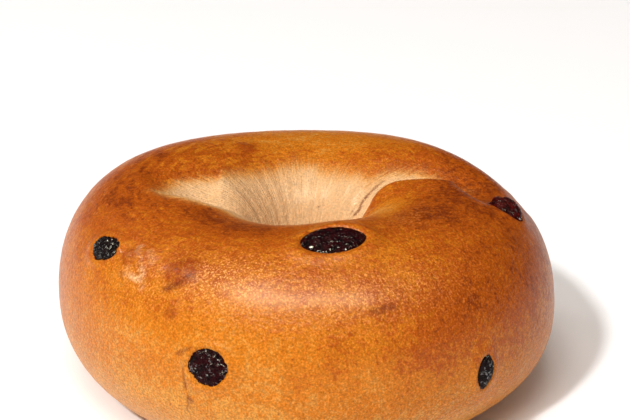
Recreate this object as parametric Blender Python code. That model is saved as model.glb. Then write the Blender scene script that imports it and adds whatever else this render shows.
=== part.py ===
"""A raisin bagel: one ring of bread with the raisins that show in its crust.

Metres, +Z up. The bread rests on z = 0 with its ring centred on the Z axis. A "turn" is
an angle round the ring from +X through +Y. A "lift" is an angle round the section: 0 on
the outer side, 90 on the crown, 180 in the hole and -90 underneath. Both are in degrees
where they are named sizes and in radians inside the functions.
"""

import math
from dataclasses import dataclass

import bpy
import numpy as np
from mathutils import Matrix, Vector

# Ring of bread
OUTER_RADIUS = 0.0575
CREST_RADIUS = 0.0322
HOLE_RADIUS = 0.0072
CROWN_HEIGHT = 0.0460
GIRTH_HEIGHT = 0.0196
BASE_SINK = 0.0016
UPPER_POWER = 2.24
LOWER_POWER = 2.21

# How the ring departs from round: (waves in a turn, cosine share, sine share)
OUTER_WAVES = ((2, -0.007, -0.009), (3, -0.004, 0.004), (4, 0.004, -0.014))
CROWN_WAVES = ((1, -0.008, 0.005), (2, 0.003, -0.009), (3, -0.004, 0.012))

# Broad unevenness of the dough: (waves in a turn, waves in the section, phase)
DOUGH_SWELL = 0.00010
DOUGH_WAVES = ((3, 2, 0.4), (5, 3, 1.9), (7, 1, 3.1), (4, 4, 4.4))

# The seam where the near rope end lies over the far one, along its floor in plan
SEAM_PATH = (
    (0.0095, -0.0005), (0.0128, 0.0025), (0.0142, 0.0052), (0.0165, 0.0082),
    (0.0200, 0.0100), (0.0240, 0.0104), (0.0282, 0.0102), (0.0322, 0.0093),
    (0.0354, 0.0084), (0.0380, 0.0066), (0.0395, 0.0004), (0.0424, -0.0050),
    (0.0468, -0.0080),
)
SEAM_DEPTH = 0.0048
SEAM_NEAR_WIDTH = 0.0034
SEAM_FAR_WIDTH = 0.0085
SEAM_FADES = (0.72, 1.0)  # shares of the path between which it runs out

# The shallower fold at the other end of the hole
FOLD_PATH = (
    (-0.0100, -0.0020), (-0.0150, -0.0034), (-0.0205, -0.0046), (-0.0245, -0.0030),
    (-0.0300, -0.0032), (-0.0350, -0.0046),
)
FOLD_DEPTH = 0.0046
FOLD_NEAR_WIDTH = 0.0030
FOLD_FAR_WIDTH = 0.0095
FOLD_FADES = (0.55, 1.0)

# Down the wall of the hole both narrow to a crease; shares are of the path's length
CREASE_NEAR_WIDTH = 0.0013
CREASE_FAR_WIDTH = 0.0042
CREASE_DEPTH_SHARE = 0.5
CREASE_OPENS = (0.15, 0.5)
VALLEY_BOTTOM = (0.004, 0.012)  # above the girth

# Stretch marks that run down the wall of the hole
STRETCH_DEPTH = 0.00014
STRETCH_COUNTS = (23, 31)
STRETCH_INWARD = (0.25, 0.7)  # how far a spot faces the hole where they start and are full
STRETCH_UPWARD = (0.0, 0.35)

# Blisters in the crust: (turn, lift, radius, height)
BLISTERS = (
    (218.0, 51.0, 0.0021, 0.00040),
    (237.5, 54.0, 0.0036, 0.00080),
    (239.0, 34.0, 0.0016, 0.00040),
    (122.0, 101.0, 0.0022, 0.00035),
    (286.0, 96.0, 0.0060, 0.00090),
    (224.0, 55.0, 0.0030, 0.00045),
    (78.0, 30.0, 0.0026, 0.00045),
    (141.0, 12.0, 0.0020, 0.00035),
    (20.0, 35.0, 0.0024, 0.00040),
)

# Raisins
POCKET_GAP = 0.0003
LIP_WIDTH = 0.0016
RAISIN_ROUNDS = 3  # subdivisions of the starting icosphere
WRINKLE_COUNTS = (2.2, 3.1, 4.3, 5.2)
WRINKLE_MIDDLE = 0.4
TAPER = 0.5
TAPER_POWER = 2.5

# Mesh of the bread
RING_STEPS = 100
SECTION_STEPS = 34
CROWDING = 0.22  # moves section points towards the crown and the hole
CROWDING_LIFT = 130.0

CRUST = (0.55, 0.20, 0.035)
RAISIN_SKIN = (0.035, 0.010, 0.014)


@dataclass(frozen=True)
class Raisin:
    """One raisin: its place on the ring and its own form."""

    name: str
    turn: float
    lift: float
    length: float
    width: float
    thickness: float
    sink: float  # how far its middle lies under the crust
    spin: float  # of its length, from the way round the ring
    wrinkle: float
    pointed: float
    lip: float
    seed: int
    tip: float = 0.0  # leans its face outwards


RAISINS = (
    Raisin("raisin_left", 207.5, 46.5, 0.0104, 0.0072, 0.0048, 0.0011, 12.0, 0.30, 0.2, 0.0004, 11),
    Raisin("raisin_round", 250.0, 13.5, 0.0101, 0.0090, 0.0056, 0.0013, 0.0, 0.18, 0.0, 0.0005, 12),
    Raisin("raisin_centre", 279.6, 81.0, 0.0184, 0.0114, 0.0050, 0.0011, 10.0, 0.06, 0.85, 0.0007, 13, 8.0),
    Raisin("raisin_right", 352.6, 57.0, 0.0100, 0.0080, 0.0058, 0.0008, 20.0, 0.24, 0.2, 0.0004, 14),
    Raisin("raisin_low", 311.8, -0.5, 0.0092, 0.0056, 0.0042, 0.0010, 86.0, 0.16, 0.4, 0.0004, 15),
    Raisin("raisin_back_high", 71.0, 33.0, 0.0128, 0.0086, 0.0052, 0.0013, 35.0, 0.20, 0.35, 0.0005, 16),
    Raisin("raisin_back_middle", 112.0, 4.0, 0.0100, 0.0086, 0.0050, 0.0012, -15.0, 0.24, 0.1, 0.0004, 17),
    Raisin("raisin_back_left", 152.0, 22.0, 0.0118, 0.0078, 0.0050, 0.0012, 70.0, 0.18, 0.4, 0.0005, 18),
    Raisin("raisin_side_left", 172.0, -16.0, 0.0092, 0.0070, 0.0046, 0.0013, 15.0, 0.24, 0.2, 0.0004, 19),
    Raisin("raisin_side_right", 30.0, -6.0, 0.0106, 0.0092, 0.0054, 0.0013, 50.0, 0.20, 0.1, 0.0005, 20),
    Raisin("raisin_under", 84.0, -38.0, 0.0114, 0.0076, 0.0046, 0.0013, 5.0, 0.18, 0.35, 0.0003, 21),
)


def clear_scene():
    """Removes whatever the scene starts with."""
    for thing in list(bpy.data.objects):
        bpy.data.objects.remove(thing, do_unlink=True)


def new_collection(name):
    """A collection linked to the scene."""
    collection = bpy.data.collections.new(name)
    bpy.context.scene.collection.children.link(collection)
    return collection


def new_material(name, colour, roughness):
    """A Principled material with one colour."""
    material = bpy.data.materials.new(name)
    material.use_nodes = True
    principled = material.node_tree.nodes["Principled BSDF"]
    principled.inputs["Base Color"].default_value = (*colour, 1.0)
    principled.inputs["Roughness"].default_value = roughness
    principled.inputs["Metallic"].default_value = 0.0
    return material


def move_to(thing, collection):
    """Leaves an object in one collection only."""
    for old in list(thing.users_collection):
        old.objects.unlink(thing)
    collection.objects.link(thing)


def mesh_points(mesh):
    """A mesh's vertices as an array of rows."""
    flat = np.empty(len(mesh.vertices) * 3)
    mesh.vertices.foreach_get("co", flat)
    return flat.reshape(-1, 3)


def set_mesh_points(mesh, points):
    """Moves a mesh's vertices to the rows of an array."""
    mesh.vertices.foreach_set("co", points.ravel())
    mesh.update()


def waves(turn, terms):
    """Sum of whole waves round the ring."""
    total = np.zeros_like(turn)
    for count, cosine, sine in terms:
        total += cosine * np.cos(count * turn) + sine * np.sin(count * turn)
    return total


def smooth_step(value, low, high):
    """Rises from 0 at low to 1 at high, level at both ends."""
    share = np.clip((value - low) / (high - low), 0.0, 1.0)
    return share * share * (3.0 - 2.0 * share)


def plain_ring(turn, lift):
    """Points of the ring before any relief, its lower half a squarer curve than its upper."""
    outer = OUTER_RADIUS * (1.0 + waves(turn, OUTER_WAVES))
    crown = CROWN_HEIGHT * (1.0 + waves(turn, CROWN_WAVES))
    across = np.cos(lift)
    up = np.sin(lift)
    power = np.where(up > 0, UPPER_POWER, LOWER_POWER)
    reach = (np.abs(across) ** power + np.abs(up) ** power) ** (-1.0 / power)
    half_width = np.where(across > 0, outer - CREST_RADIUS, CREST_RADIUS - HOLE_RADIUS)
    half_height = np.where(up > 0, crown - GIRTH_HEIGHT, GIRTH_HEIGHT + BASE_SINK)
    radius = CREST_RADIUS + half_width * across * reach
    height = GIRTH_HEIGHT + half_height * up * reach
    return np.stack([radius * np.cos(turn), radius * np.sin(turn), height], axis=-1)


def ring_normals(turn, lift):
    """Outward directions of the plain ring."""
    step = 1e-4
    along = plain_ring(turn + step, lift) - plain_ring(turn - step, lift)
    round_section = plain_ring(turn, lift + step) - plain_ring(turn, lift - step)
    normals = np.cross(along, round_section)
    return normals / np.linalg.norm(normals, axis=-1, keepdims=True)


def rounded_path(corners, rounds=3):
    """A corner-cut copy of an open path in plan."""
    path = np.array(corners)
    for _ in range(rounds):
        early = 0.75 * path[:-1] + 0.25 * path[1:]
        late = 0.25 * path[:-1] + 0.75 * path[1:]
        middle = np.stack([early, late], axis=1).reshape(-1, 2)
        path = np.concatenate([path[:1], middle, path[-1:]])
    return path


def path_distance(points, path):
    """Distance in plan to a path, positive on its left, and the share of the path passed."""
    start = path[:-1]
    leg = path[1:] - start
    offset = points[:, None, :2] - start[None]
    share = np.clip((offset * leg).sum(-1) / (leg * leg).sum(-1), 0.0, 1.0)
    away = offset - share[..., None] * leg
    distance = np.hypot(away[..., 0], away[..., 1])
    nearest = distance.argmin(axis=1)
    rows = np.arange(len(points))
    side = leg[nearest, 0] * offset[rows, nearest, 1] - leg[nearest, 1] * offset[rows, nearest, 0]
    passed = (nearest + share[rows, nearest]) / len(leg)
    return np.copysign(distance[rows, nearest], side), passed


def valley(points, path, depth, near_width, far_width, far_side, fades):
    """A groove along a path, narrow in the hole and fading outwards; far_side is 1 on its left."""
    distance, passed = path_distance(points, rounded_path(path))
    opened = smooth_step(passed, *CREASE_OPENS)
    near = CREASE_NEAR_WIDTH + (near_width - CREASE_NEAR_WIDTH) * opened
    far = CREASE_FAR_WIDTH + (far_width - CREASE_FAR_WIDTH) * opened
    width = np.where(distance * far_side > 0, far, near)
    level = depth * (CREASE_DEPTH_SHARE + (1.0 - CREASE_DEPTH_SHARE) * opened)
    level = level * (1.0 - smooth_step(passed, *fades))
    rise = points[:, 2] - GIRTH_HEIGHT
    return -level * np.exp(-((distance / width) ** 2)) * smooth_step(rise, *VALLEY_BOTTOM)


def dough_relief(turn, lift, points):
    """Broad relief of the dough: its swells, its two folds and the stretch marks."""
    relief = np.zeros(len(points))
    for around, section, phase in DOUGH_WAVES:
        relief += DOUGH_SWELL * np.cos(around * turn + phase) * np.cos(section * lift + phase)
    relief += valley(points, SEAM_PATH, SEAM_DEPTH, SEAM_NEAR_WIDTH, SEAM_FAR_WIDTH, 1.0, SEAM_FADES)
    relief += valley(points, FOLD_PATH, FOLD_DEPTH, FOLD_NEAR_WIDTH, FOLD_FAR_WIDTH, -1.0, FOLD_FADES)
    in_hole = smooth_step(-np.cos(lift), *STRETCH_INWARD) * smooth_step(np.sin(lift), *STRETCH_UPWARD)
    for count in STRETCH_COUNTS:
        relief += STRETCH_DEPTH * in_hole * np.sin(count * turn + count)
    return relief


def dough_surface(turn, lift):
    """Points of the dough with its broad relief."""
    points = plain_ring(turn, lift)
    relief = dough_relief(turn, lift, points)
    return points + ring_normals(turn, lift) * relief[:, None]


def one_point(surface, turn, lift):
    """A surface function at one place given in degrees."""
    return surface(np.array([math.radians(turn)]), np.array([math.radians(lift)]))[0]


def raisin_frame(raisin):
    """Rotation and middle of a raisin: X along it, Z out of the crust."""
    normal = Vector(one_point(ring_normals, raisin.turn, raisin.lift))
    spot = Vector(one_point(dough_surface, raisin.turn, raisin.lift))
    way = Vector((-math.sin(math.radians(raisin.turn)), math.cos(math.radians(raisin.turn)), 0.0))
    normal.rotate(Matrix.Rotation(math.radians(raisin.tip), 3, way))
    way = (way - normal * way.dot(normal)).normalized()
    side = normal.cross(way)
    axes = Matrix((way, side, normal)).transposed()
    return axes @ Matrix.Rotation(math.radians(raisin.spin), 3, "Z"), spot - normal * raisin.sink


def lip_relief(points, raisin):
    """The crust swollen into a low lip round one raisin."""
    axes, middle = raisin_frame(raisin)
    local = (points - np.array(middle)) @ np.array(axes)
    spread = np.hypot(local[:, 0] / (raisin.length / 2), local[:, 1] / (raisin.width / 2))
    size = (raisin.length + raisin.width) / 4
    beyond = (spread - 1.0) * size / LIP_WIDTH
    near = np.abs(local[:, 2]) < raisin.length
    return raisin.lip * np.exp(-(beyond**2)) * near


def blister_relief(points, blister):
    """One round blister."""
    turn, lift, radius, height = blister
    spot = one_point(plain_ring, turn, lift)
    distance = np.linalg.norm(points - spot, axis=1)
    return height * np.exp(-((distance / radius) ** 2))


def crust_surface(turn, lift):
    """Points of the finished crust, pressed flat underneath."""
    points = dough_surface(turn, lift)
    relief = np.zeros(len(points))
    for raisin in RAISINS:
        relief += lip_relief(points, raisin)
    for blister in BLISTERS:
        relief += blister_relief(points, blister)
    points = points + ring_normals(turn, lift) * relief[:, None]
    points[:, 2] = np.maximum(points[:, 2], 0.0)
    return points


def make_bread(collection, material):
    """The ring, from a torus whose points are moved onto the crust."""
    bpy.ops.mesh.primitive_torus_add(
        major_segments=RING_STEPS,
        minor_segments=SECTION_STEPS,
        major_radius=CREST_RADIUS,
        minor_radius=OUTER_RADIUS - CREST_RADIUS,
    )
    bread = bpy.context.object
    bread.name = "bread"
    bread.data.name = "bread"
    points = mesh_points(bread.data)
    turn = np.arctan2(points[:, 1], points[:, 0])
    lift = np.arctan2(points[:, 2], np.hypot(points[:, 0], points[:, 1]) - CREST_RADIUS)
    lift = lift - CROWDING * np.sin(lift - math.radians(CROWDING_LIFT))
    set_mesh_points(bread.data, crust_surface(turn, lift))
    bread.data.shade_smooth()
    bread.data.materials.append(material)
    move_to(bread, collection)
    return bread


def wrinkles(directions, raisin):
    """Depth of a raisin's folds in each direction, 0 on a ridge to 1 in a furrow."""
    random = np.random.default_rng(raisin.seed)
    depth = np.zeros(len(directions))
    for count in WRINKLE_COUNTS:
        axis = random.normal(size=3)
        axis /= np.linalg.norm(axis)
        phase = random.uniform(0.0, math.pi)
        depth += 1.0 - np.abs(np.sin(count * directions @ axis + phase))
    return depth / len(WRINKLE_COUNTS)


def shape_raisin(mesh, raisin, gap):
    """Turns a unit sphere's mesh into the raisin, or into its pocket where gap is over 0."""
    directions = mesh_points(mesh)
    directions /= np.linalg.norm(directions, axis=1, keepdims=True)
    swell = 1.0 + raisin.wrinkle * (WRINKLE_MIDDLE - wrinkles(directions, raisin))
    taper = 1.0 - TAPER * raisin.pointed * np.abs(directions[:, 0]) ** TAPER_POWER
    points = directions * swell[:, None]
    points[:, 1] *= taper
    points[:, 2] *= taper
    half = np.array([raisin.length, raisin.width, raisin.thickness]) / 2
    set_mesh_points(mesh, points * half + directions * gap)


def make_raisin(raisin, collection, material, gap=0.0):
    """A raisin set in the crust, or the cutter of its pocket."""
    bpy.ops.mesh.primitive_ico_sphere_add(subdivisions=RAISIN_ROUNDS, radius=1.0)
    body = bpy.context.object
    body.name = raisin.name if gap == 0.0 else raisin.name + "_pocket"
    body.data.name = body.name
    shape_raisin(body.data, raisin, gap)
    axes, middle = raisin_frame(raisin)
    body.location = middle
    body.rotation_euler = axes.to_euler()
    body.data.shade_smooth()
    body.data.materials.append(material)
    move_to(body, collection)
    return body


def cut_pocket(bread, cutter):
    """Cuts one pocket and leaves the cutter out of renders."""
    cutter.hide_render = True
    cutter.display_type = "WIRE"
    cut = bread.modifiers.new(cutter.name, "BOOLEAN")
    cut.operation = "DIFFERENCE"
    cut.solver = "EXACT"
    cut.object = cutter


def main():
    """Builds the bagel."""
    clear_scene()
    bagel = new_collection("bagel")
    cutters = new_collection("cutters")
    cutters.hide_render = True
    crust = new_material("crust", CRUST, 0.42)
    skin = new_material("raisin", RAISIN_SKIN, 0.30)
    bread = make_bread(bagel, crust)
    for raisin in RAISINS:
        make_raisin(raisin, bagel, skin)
        cut_pocket(bread, make_raisin(raisin, cutters, skin, POCKET_GAP))


main()
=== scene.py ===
"""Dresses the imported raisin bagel: its fine crust, its wrinkled raisins, a white studio and the camera.

Metres, +Z up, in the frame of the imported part. A "turn" is an angle round the ring from +X
through +Y. A "lift" is an angle round the section: 0 on the outer side, 90 on the crown, 180
in the hole and -90 underneath. Both are in degrees where they are named sizes and in radians
inside the methods.
"""

import logging
import math
from dataclasses import dataclass, field
from enum import Enum
from functools import partial, reduce

import bmesh
import bpy
import numpy as np
from mathutils import Matrix, Vector


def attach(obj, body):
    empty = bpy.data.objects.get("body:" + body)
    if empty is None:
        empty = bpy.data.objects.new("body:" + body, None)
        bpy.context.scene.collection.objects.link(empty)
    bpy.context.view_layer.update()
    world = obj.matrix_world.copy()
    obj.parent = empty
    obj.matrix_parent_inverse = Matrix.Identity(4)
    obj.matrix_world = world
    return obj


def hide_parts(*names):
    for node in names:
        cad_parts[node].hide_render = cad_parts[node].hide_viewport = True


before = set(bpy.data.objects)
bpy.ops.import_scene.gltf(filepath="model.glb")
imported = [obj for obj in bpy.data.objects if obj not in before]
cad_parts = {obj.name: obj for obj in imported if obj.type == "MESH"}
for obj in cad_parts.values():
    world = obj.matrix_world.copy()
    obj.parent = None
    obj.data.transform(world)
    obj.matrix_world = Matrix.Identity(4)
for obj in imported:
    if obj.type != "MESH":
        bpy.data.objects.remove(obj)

LOG = logging.getLogger("bagel")
BODY = "root"
NOISE_MIDDLE = 0.5
TINY = 1e-6

Array = np.ndarray
Point = tuple[float, float, float]
Colour = tuple[float, float, float]
Pair = tuple[float, float]
Socket = bpy.types.NodeSocket
# Where a smooth step starts and ends, and its value before and after.
Ramp = tuple[float, float, float, float]

ORIGIN: Point = (0.0, 0.0, 0.0)


def smooth_step(value: Array, low: float, high: float) -> Array:
    """Rises smoothly from 0 at low to 1 at high.

    Args:
        value: Numbers of any shape.
        low: Where the result leaves 0.
        high: Where the result reaches 1.

    Returns:
        The shares, in the shape of value.
    """
    share = np.clip((value - low) / (high - low), 0.0, 1.0)
    return share * share * (3.0 - 2.0 * share)


def bell(value: Array, width: float | Array = 1.0) -> Array:
    """A bell of height 1 round a value of 0, with flanks that fall off over a width."""
    return np.exp(-((value / width) ** 2))


def way_from(centre: float, turn: Array) -> Array:
    """The signed angle from a turn, in degrees, for an array of turns in radians."""
    return (np.degrees(turn) - centre + 180.0) % 360.0 - 180.0


def in_radians(turn: float, lift: float) -> tuple[Array, Array]:
    """A turn and a lift in degrees as two arrays of one angle in radians."""
    return np.array([math.radians(turn)]), np.array([math.radians(lift)])


@dataclass(frozen=True)
class RingForm:
    """The plain ring that the bread starts from, with the sizes of its solid."""

    outer_radius: float = 0.0575
    crest_radius: float = 0.0322
    hole_radius: float = 0.0072
    crown_height: float = 0.0460
    girth_height: float = 0.0196
    base_sink: float = 0.0016
    upper_power: float = 2.24
    lower_power: float = 2.21
    outer_waves: tuple[Point, ...] = ((2, -0.007, -0.009), (3, -0.004, 0.004), (4, 0.004, -0.014))
    crown_waves: tuple[Point, ...] = ((1, -0.008, 0.005), (2, 0.003, -0.009), (3, -0.004, 0.012))

    @staticmethod
    def waves(turn: Array, terms: tuple[Point, ...]) -> Array:
        """Sums whole waves round the ring.

        Args:
            turn: Angles round the ring.
            terms: For each wave its count in a turn, its cosine share and its sine share.

        Returns:
            The sum at each angle.
        """
        total = np.zeros_like(turn)
        for count, cosine, sine in terms:
            total += cosine * np.cos(count * turn) + sine * np.sin(count * turn)
        return total

    def points(self, turn: Array, lift: Array) -> Array:
        """Places points on the ring.

        Args:
            turn: Angles round the ring.
            lift: Angles round the section.

        Returns:
            One row of X, Y and Z for each angle pair.
        """
        outer = self.outer_radius * (1.0 + self.waves(turn, self.outer_waves))
        crown = self.crown_height * (1.0 + self.waves(turn, self.crown_waves))
        across = np.cos(lift)
        up = np.sin(lift)
        power = np.where(up > 0, self.upper_power, self.lower_power)
        reach = (np.abs(across) ** power + np.abs(up) ** power) ** (-1.0 / power)
        half_width = np.where(across > 0, outer - self.crest_radius, self.crest_radius - self.hole_radius)
        half_height = np.where(up > 0, crown - self.girth_height, self.girth_height + self.base_sink)
        radius = self.crest_radius + half_width * across * reach
        height = self.girth_height + half_height * up * reach
        return np.stack([radius * np.cos(turn), radius * np.sin(turn), height], axis=-1)

    def normals(self, turn: Array, lift: Array) -> Array:
        """Finds the outward directions of the ring.

        Args:
            turn: Angles round the ring.
            lift: Angles round the section.

        Returns:
            One unit row for each angle pair.
        """
        step = 1e-4
        along = self.points(turn + step, lift) - self.points(turn - step, lift)
        round_section = self.points(turn, lift + step) - self.points(turn, lift - step)
        normals = np.cross(along, round_section)
        return normals / np.linalg.norm(normals, axis=-1, keepdims=True)


@dataclass(frozen=True)
class Fold:
    """A groove between two lobes of dough: a crease in the hole that opens into a valley."""

    path: tuple[Pair, ...]
    depth: float
    near_width: float
    far_width: float
    far_side: float
    crease_near_width: float = 0.0013
    crease_far_width: float = 0.0042
    crease_share: float = 0.5
    opens: Pair = (0.15, 0.5)
    fades: Pair = (0.72, 1.0)
    bottom: Pair = (0.004, 0.012)
    corner: float = 0.25
    rows_at_once: int = 20000

    def rounded(self, rounds: int = 3) -> Array:
        """Cuts the corners of the path.

        Args:
            rounds: How often every corner is cut.

        Returns:
            The rows of the rounded path, in plan.
        """
        path = np.array(self.path)
        for _ in range(rounds):
            early = (1.0 - self.corner) * path[:-1] + self.corner * path[1:]
            late = self.corner * path[:-1] + (1.0 - self.corner) * path[1:]
            path = np.concatenate([path[:1], np.stack([early, late], axis=1).reshape(-1, 2), path[-1:]])
        return path

    def distance(self, points: Array) -> tuple[Array, Array]:
        """Measures how far points lie from the path in plan.

        Args:
            points: Rows of X, Y and Z.

        Returns:
            The distance, positive on the far side, and the share of the path passed.
        """
        path = self.rounded()
        start, leg = path[:-1], path[1:] - path[:-1]
        away_parts, passed_parts = [], []
        for part in np.array_split(points[:, :2], max(1, len(points) // self.rows_at_once)):
            offset = part[:, None] - start[None]
            share = np.clip((offset * leg).sum(-1) / (leg * leg).sum(-1), 0.0, 1.0)
            away = np.linalg.norm(offset - share[..., None] * leg, axis=-1)
            nearest = away.argmin(axis=1)
            rows = np.arange(len(part))
            side = leg[nearest, 0] * offset[rows, nearest, 1] - leg[nearest, 1] * offset[rows, nearest, 0]
            away_parts.append(np.copysign(away[rows, nearest], side) * self.far_side)
            passed_parts.append((nearest + share[rows, nearest]) / len(leg))
        return np.concatenate(away_parts), np.concatenate(passed_parts)

    def relief(self, points: Array, ring: RingForm) -> Array:
        """Works out how deep the groove is.

        Args:
            points: Rows of X, Y and Z on the plain ring.
            ring: The ring that the groove is in.

        Returns:
            The relief along the ring's normals, 0 or less.
        """
        away, passed = self.distance(points)
        opened = smooth_step(passed, *self.opens)
        near = self.crease_near_width + (self.near_width - self.crease_near_width) * opened
        far = self.crease_far_width + (self.far_width - self.crease_far_width) * opened
        width = np.where(away > 0, far, near)
        level = self.depth * (self.crease_share + (1.0 - self.crease_share) * opened)
        level = level * (1.0 - smooth_step(passed, *self.fades))
        high = smooth_step(points[:, 2] - ring.girth_height, *self.bottom)
        return -level * bell(away, width) * high


@dataclass(frozen=True)
class Blister:
    """A round swelling of the crust that browned more than what is round it."""

    turn: float
    lift: float
    radius: float
    height: float
    stain: float = 0.0


@dataclass(frozen=True)
class Pucker:
    """A short raised fold of skin, with a painted highlight along it."""

    start: Pair
    end: Pair
    width: float
    height: float
    # How strong the painted highlight along the fold is.
    painted_shine: float


class Skin(Enum):
    """The kinds of raisin skin in the crust."""

    PLUM = "plum"
    RUSSET = "russet"
    COAL = "coal"


@dataclass(frozen=True)
class RaisinForm:
    """One raisin: its place on the ring, its own form and its skin."""

    name: str
    turn: float
    lift: float
    length: float
    width: float
    thickness: float
    sink: float
    spin: float
    wrinkle: float
    pointed: float
    lip: float
    seed: int
    tip: float = 0.0
    skin: Skin = Skin.PLUM
    crumple: float = 0.05

    # The same for every raisin.
    wrinkle_counts = (2.2, 3.1, 4.3, 5.2)
    wrinkle_middle = 0.4
    taper = 0.5
    taper_power = 2.5
    lip_width = 0.0016

    @property
    def mean_radius(self) -> float:
        """Half the mean of its length and its width."""
        return (self.length + self.width) / 4

    def fold_axes(self) -> list[tuple[Vector, float]]:
        """Draws the directions and phases of the raisin's main folds.

        Returns:
            A unit direction and a phase for each of the wrinkle counts.
        """
        random = np.random.default_rng(self.seed)
        folds = []
        for _ in self.wrinkle_counts:
            axis = random.normal(size=3)
            axis /= np.linalg.norm(axis)
            folds.append((Vector(axis), float(random.uniform(0.0, math.pi))))
        return folds

    def swell(self, directions: Array) -> Array:
        """Finds how far the main folds let the skin out.

        Args:
            directions: Unit rows from the raisin's middle.

        Returns:
            The share of the plain radius in each direction.
        """
        depth = np.zeros(len(directions))
        for count, (axis, phase) in zip(self.wrinkle_counts, self.fold_axes()):
            depth += 1.0 - np.abs(np.sin(count * directions @ np.array(axis) + phase))
        return 1.0 + self.wrinkle * (self.wrinkle_middle - depth / len(self.wrinkle_counts))


@dataclass(frozen=True)
class BagelForm:
    """The whole form of the crust: ring, folds, blisters and the raisins' beds."""

    ring: RingForm = RingForm()
    folds: tuple[Fold, ...] = (
        Fold(
            path=(
                (0.0095, -0.0005), (0.0128, 0.0025), (0.0142, 0.0052), (0.0165, 0.0082),
                (0.0200, 0.0100), (0.0240, 0.0104), (0.0282, 0.0102), (0.0322, 0.0093),
                (0.0354, 0.0084), (0.0380, 0.0066), (0.0395, 0.0004), (0.0424, -0.0050),
                (0.0468, -0.0080),
            ),
            depth=0.0048,
            near_width=0.0034,
            far_width=0.0085,
            far_side=1.0,
        ),
        Fold(
            path=(
                (-0.0100, -0.0020), (-0.0150, -0.0034), (-0.0205, -0.0046), (-0.0245, -0.0030),
                (-0.0300, -0.0032), (-0.0350, -0.0046),
            ),
            depth=0.0046,
            near_width=0.0030,
            far_width=0.0095,
            far_side=-1.0,
            fades=(0.55, 1.0),
        ),
    )
    blisters: tuple[Blister, ...] = (
        Blister(218.0, 51.0, 0.0021, 0.00040, 0.8),
        Blister(237.5, 54.0, 0.0036, 0.00080, 1.0),
        Blister(239.0, 34.0, 0.0016, 0.00040, 0.8),
        Blister(122.0, 101.0, 0.0022, 0.00035, 0.7),
        Blister(286.0, 96.0, 0.0060, 0.00090),
        Blister(224.0, 55.0, 0.0030, 0.00045),
        Blister(78.0, 30.0, 0.0026, 0.00045, 0.6),
        Blister(141.0, 12.0, 0.0020, 0.00035, 0.6),
        Blister(20.0, 35.0, 0.0024, 0.00040, 0.6),
    )
    raisins: tuple[RaisinForm, ...] = (
        # Name, turn, lift, length, width, thickness, sink and spin, then the rest by name.
        RaisinForm(
            "raisin_left", 207.5, 46.5, 0.0104, 0.0072, 0.0048, 0.0011, 12.0,
            wrinkle=0.30, pointed=0.2, lip=0.0004, seed=11, skin=Skin.COAL, crumple=0.16,
        ),
        RaisinForm(
            "raisin_round", 250.0, 13.5, 0.0101, 0.0090, 0.0056, 0.0013, 0.0,
            wrinkle=0.18, pointed=0.0, lip=0.0005, seed=12, crumple=0.09,
        ),
        RaisinForm(
            "raisin_centre", 279.6, 81.0, 0.0184, 0.0114, 0.0050, 0.0011, 10.0,
            wrinkle=0.06, pointed=0.85, lip=0.0007, seed=13, tip=8.0, crumple=0.05,
        ),
        RaisinForm(
            "raisin_right", 352.6, 57.0, 0.0100, 0.0080, 0.0058, 0.0008, 20.0,
            wrinkle=0.24, pointed=0.2, lip=0.0004, seed=14, skin=Skin.RUSSET, crumple=0.10,
        ),
        RaisinForm(
            "raisin_low", 311.8, -0.5, 0.0092, 0.0056, 0.0042, 0.0010, 86.0,
            wrinkle=0.16, pointed=0.4, lip=0.0004, seed=15, skin=Skin.COAL, crumple=0.08,
        ),
        RaisinForm(
            "raisin_back_high", 71.0, 33.0, 0.0128, 0.0086, 0.0052, 0.0013, 35.0,
            wrinkle=0.20, pointed=0.35, lip=0.0005, seed=16, crumple=0.09,
        ),
        RaisinForm(
            "raisin_back_middle", 112.0, 4.0, 0.0100, 0.0086, 0.0050, 0.0012, -15.0,
            wrinkle=0.24, pointed=0.1, lip=0.0004, seed=17, skin=Skin.RUSSET, crumple=0.10,
        ),
        RaisinForm(
            "raisin_back_left", 152.0, 22.0, 0.0118, 0.0078, 0.0050, 0.0012, 70.0,
            wrinkle=0.18, pointed=0.4, lip=0.0005, seed=18, crumple=0.08,
        ),
        RaisinForm(
            "raisin_side_left", 172.0, -16.0, 0.0092, 0.0070, 0.0046, 0.0013, 15.0,
            wrinkle=0.24, pointed=0.2, lip=0.0004, seed=19, skin=Skin.COAL, crumple=0.10,
        ),
        RaisinForm(
            "raisin_side_right", 30.0, -6.0, 0.0106, 0.0092, 0.0054, 0.0013, 50.0,
            wrinkle=0.20, pointed=0.1, lip=0.0005, seed=20, crumple=0.09,
        ),
        RaisinForm(
            "raisin_under", 84.0, -38.0, 0.0114, 0.0076, 0.0046, 0.0013, 5.0,
            wrinkle=0.18, pointed=0.35, lip=0.0003, seed=21, crumple=0.08,
        ),
    )
    # Raised folds of skin, each with a painted highlight along it.
    puckers: tuple[Pucker, ...] = (
        Pucker((218.8, 57.0), (224.4, 49.8), 0.0004, 0.00040, 1.0),
        Pucker((224.4, 49.8), (226.6, 45.5), 0.0004, 0.00040, 1.0),
        Pucker((220.0, 44.4), (228.6, 41.3), 0.0004, 0.00020, 0.5),
        Pucker((223.4, 57.5), (227.0, 54.0), 0.0006, 0.00015, 0.25),
        Pucker((277.0, 98.0), (286.0, 98.5), 0.0005, 0.00020, 0.45),
        Pucker((286.0, 98.5), (293.5, 93.5), 0.0005, 0.00020, 0.45),
    )
    swell: float = 0.00010
    # Each swell has its waves round the ring, its waves round the section and its phase.
    swells: tuple[Point, ...] = ((3, 2, 0.4), (5, 3, 1.9), (7, 1, 3.1), (4, 4, 4.4))
    stretch_depth: float = 0.00006
    stretch_counts: tuple[int, ...] = (23, 31)
    stretch_inward: Pair = (0.25, 0.7)
    stretch_upward: Pair = (0.0, 0.35)
    moat_depth: float = 0.00025
    moat_width: float = 0.00028

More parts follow.
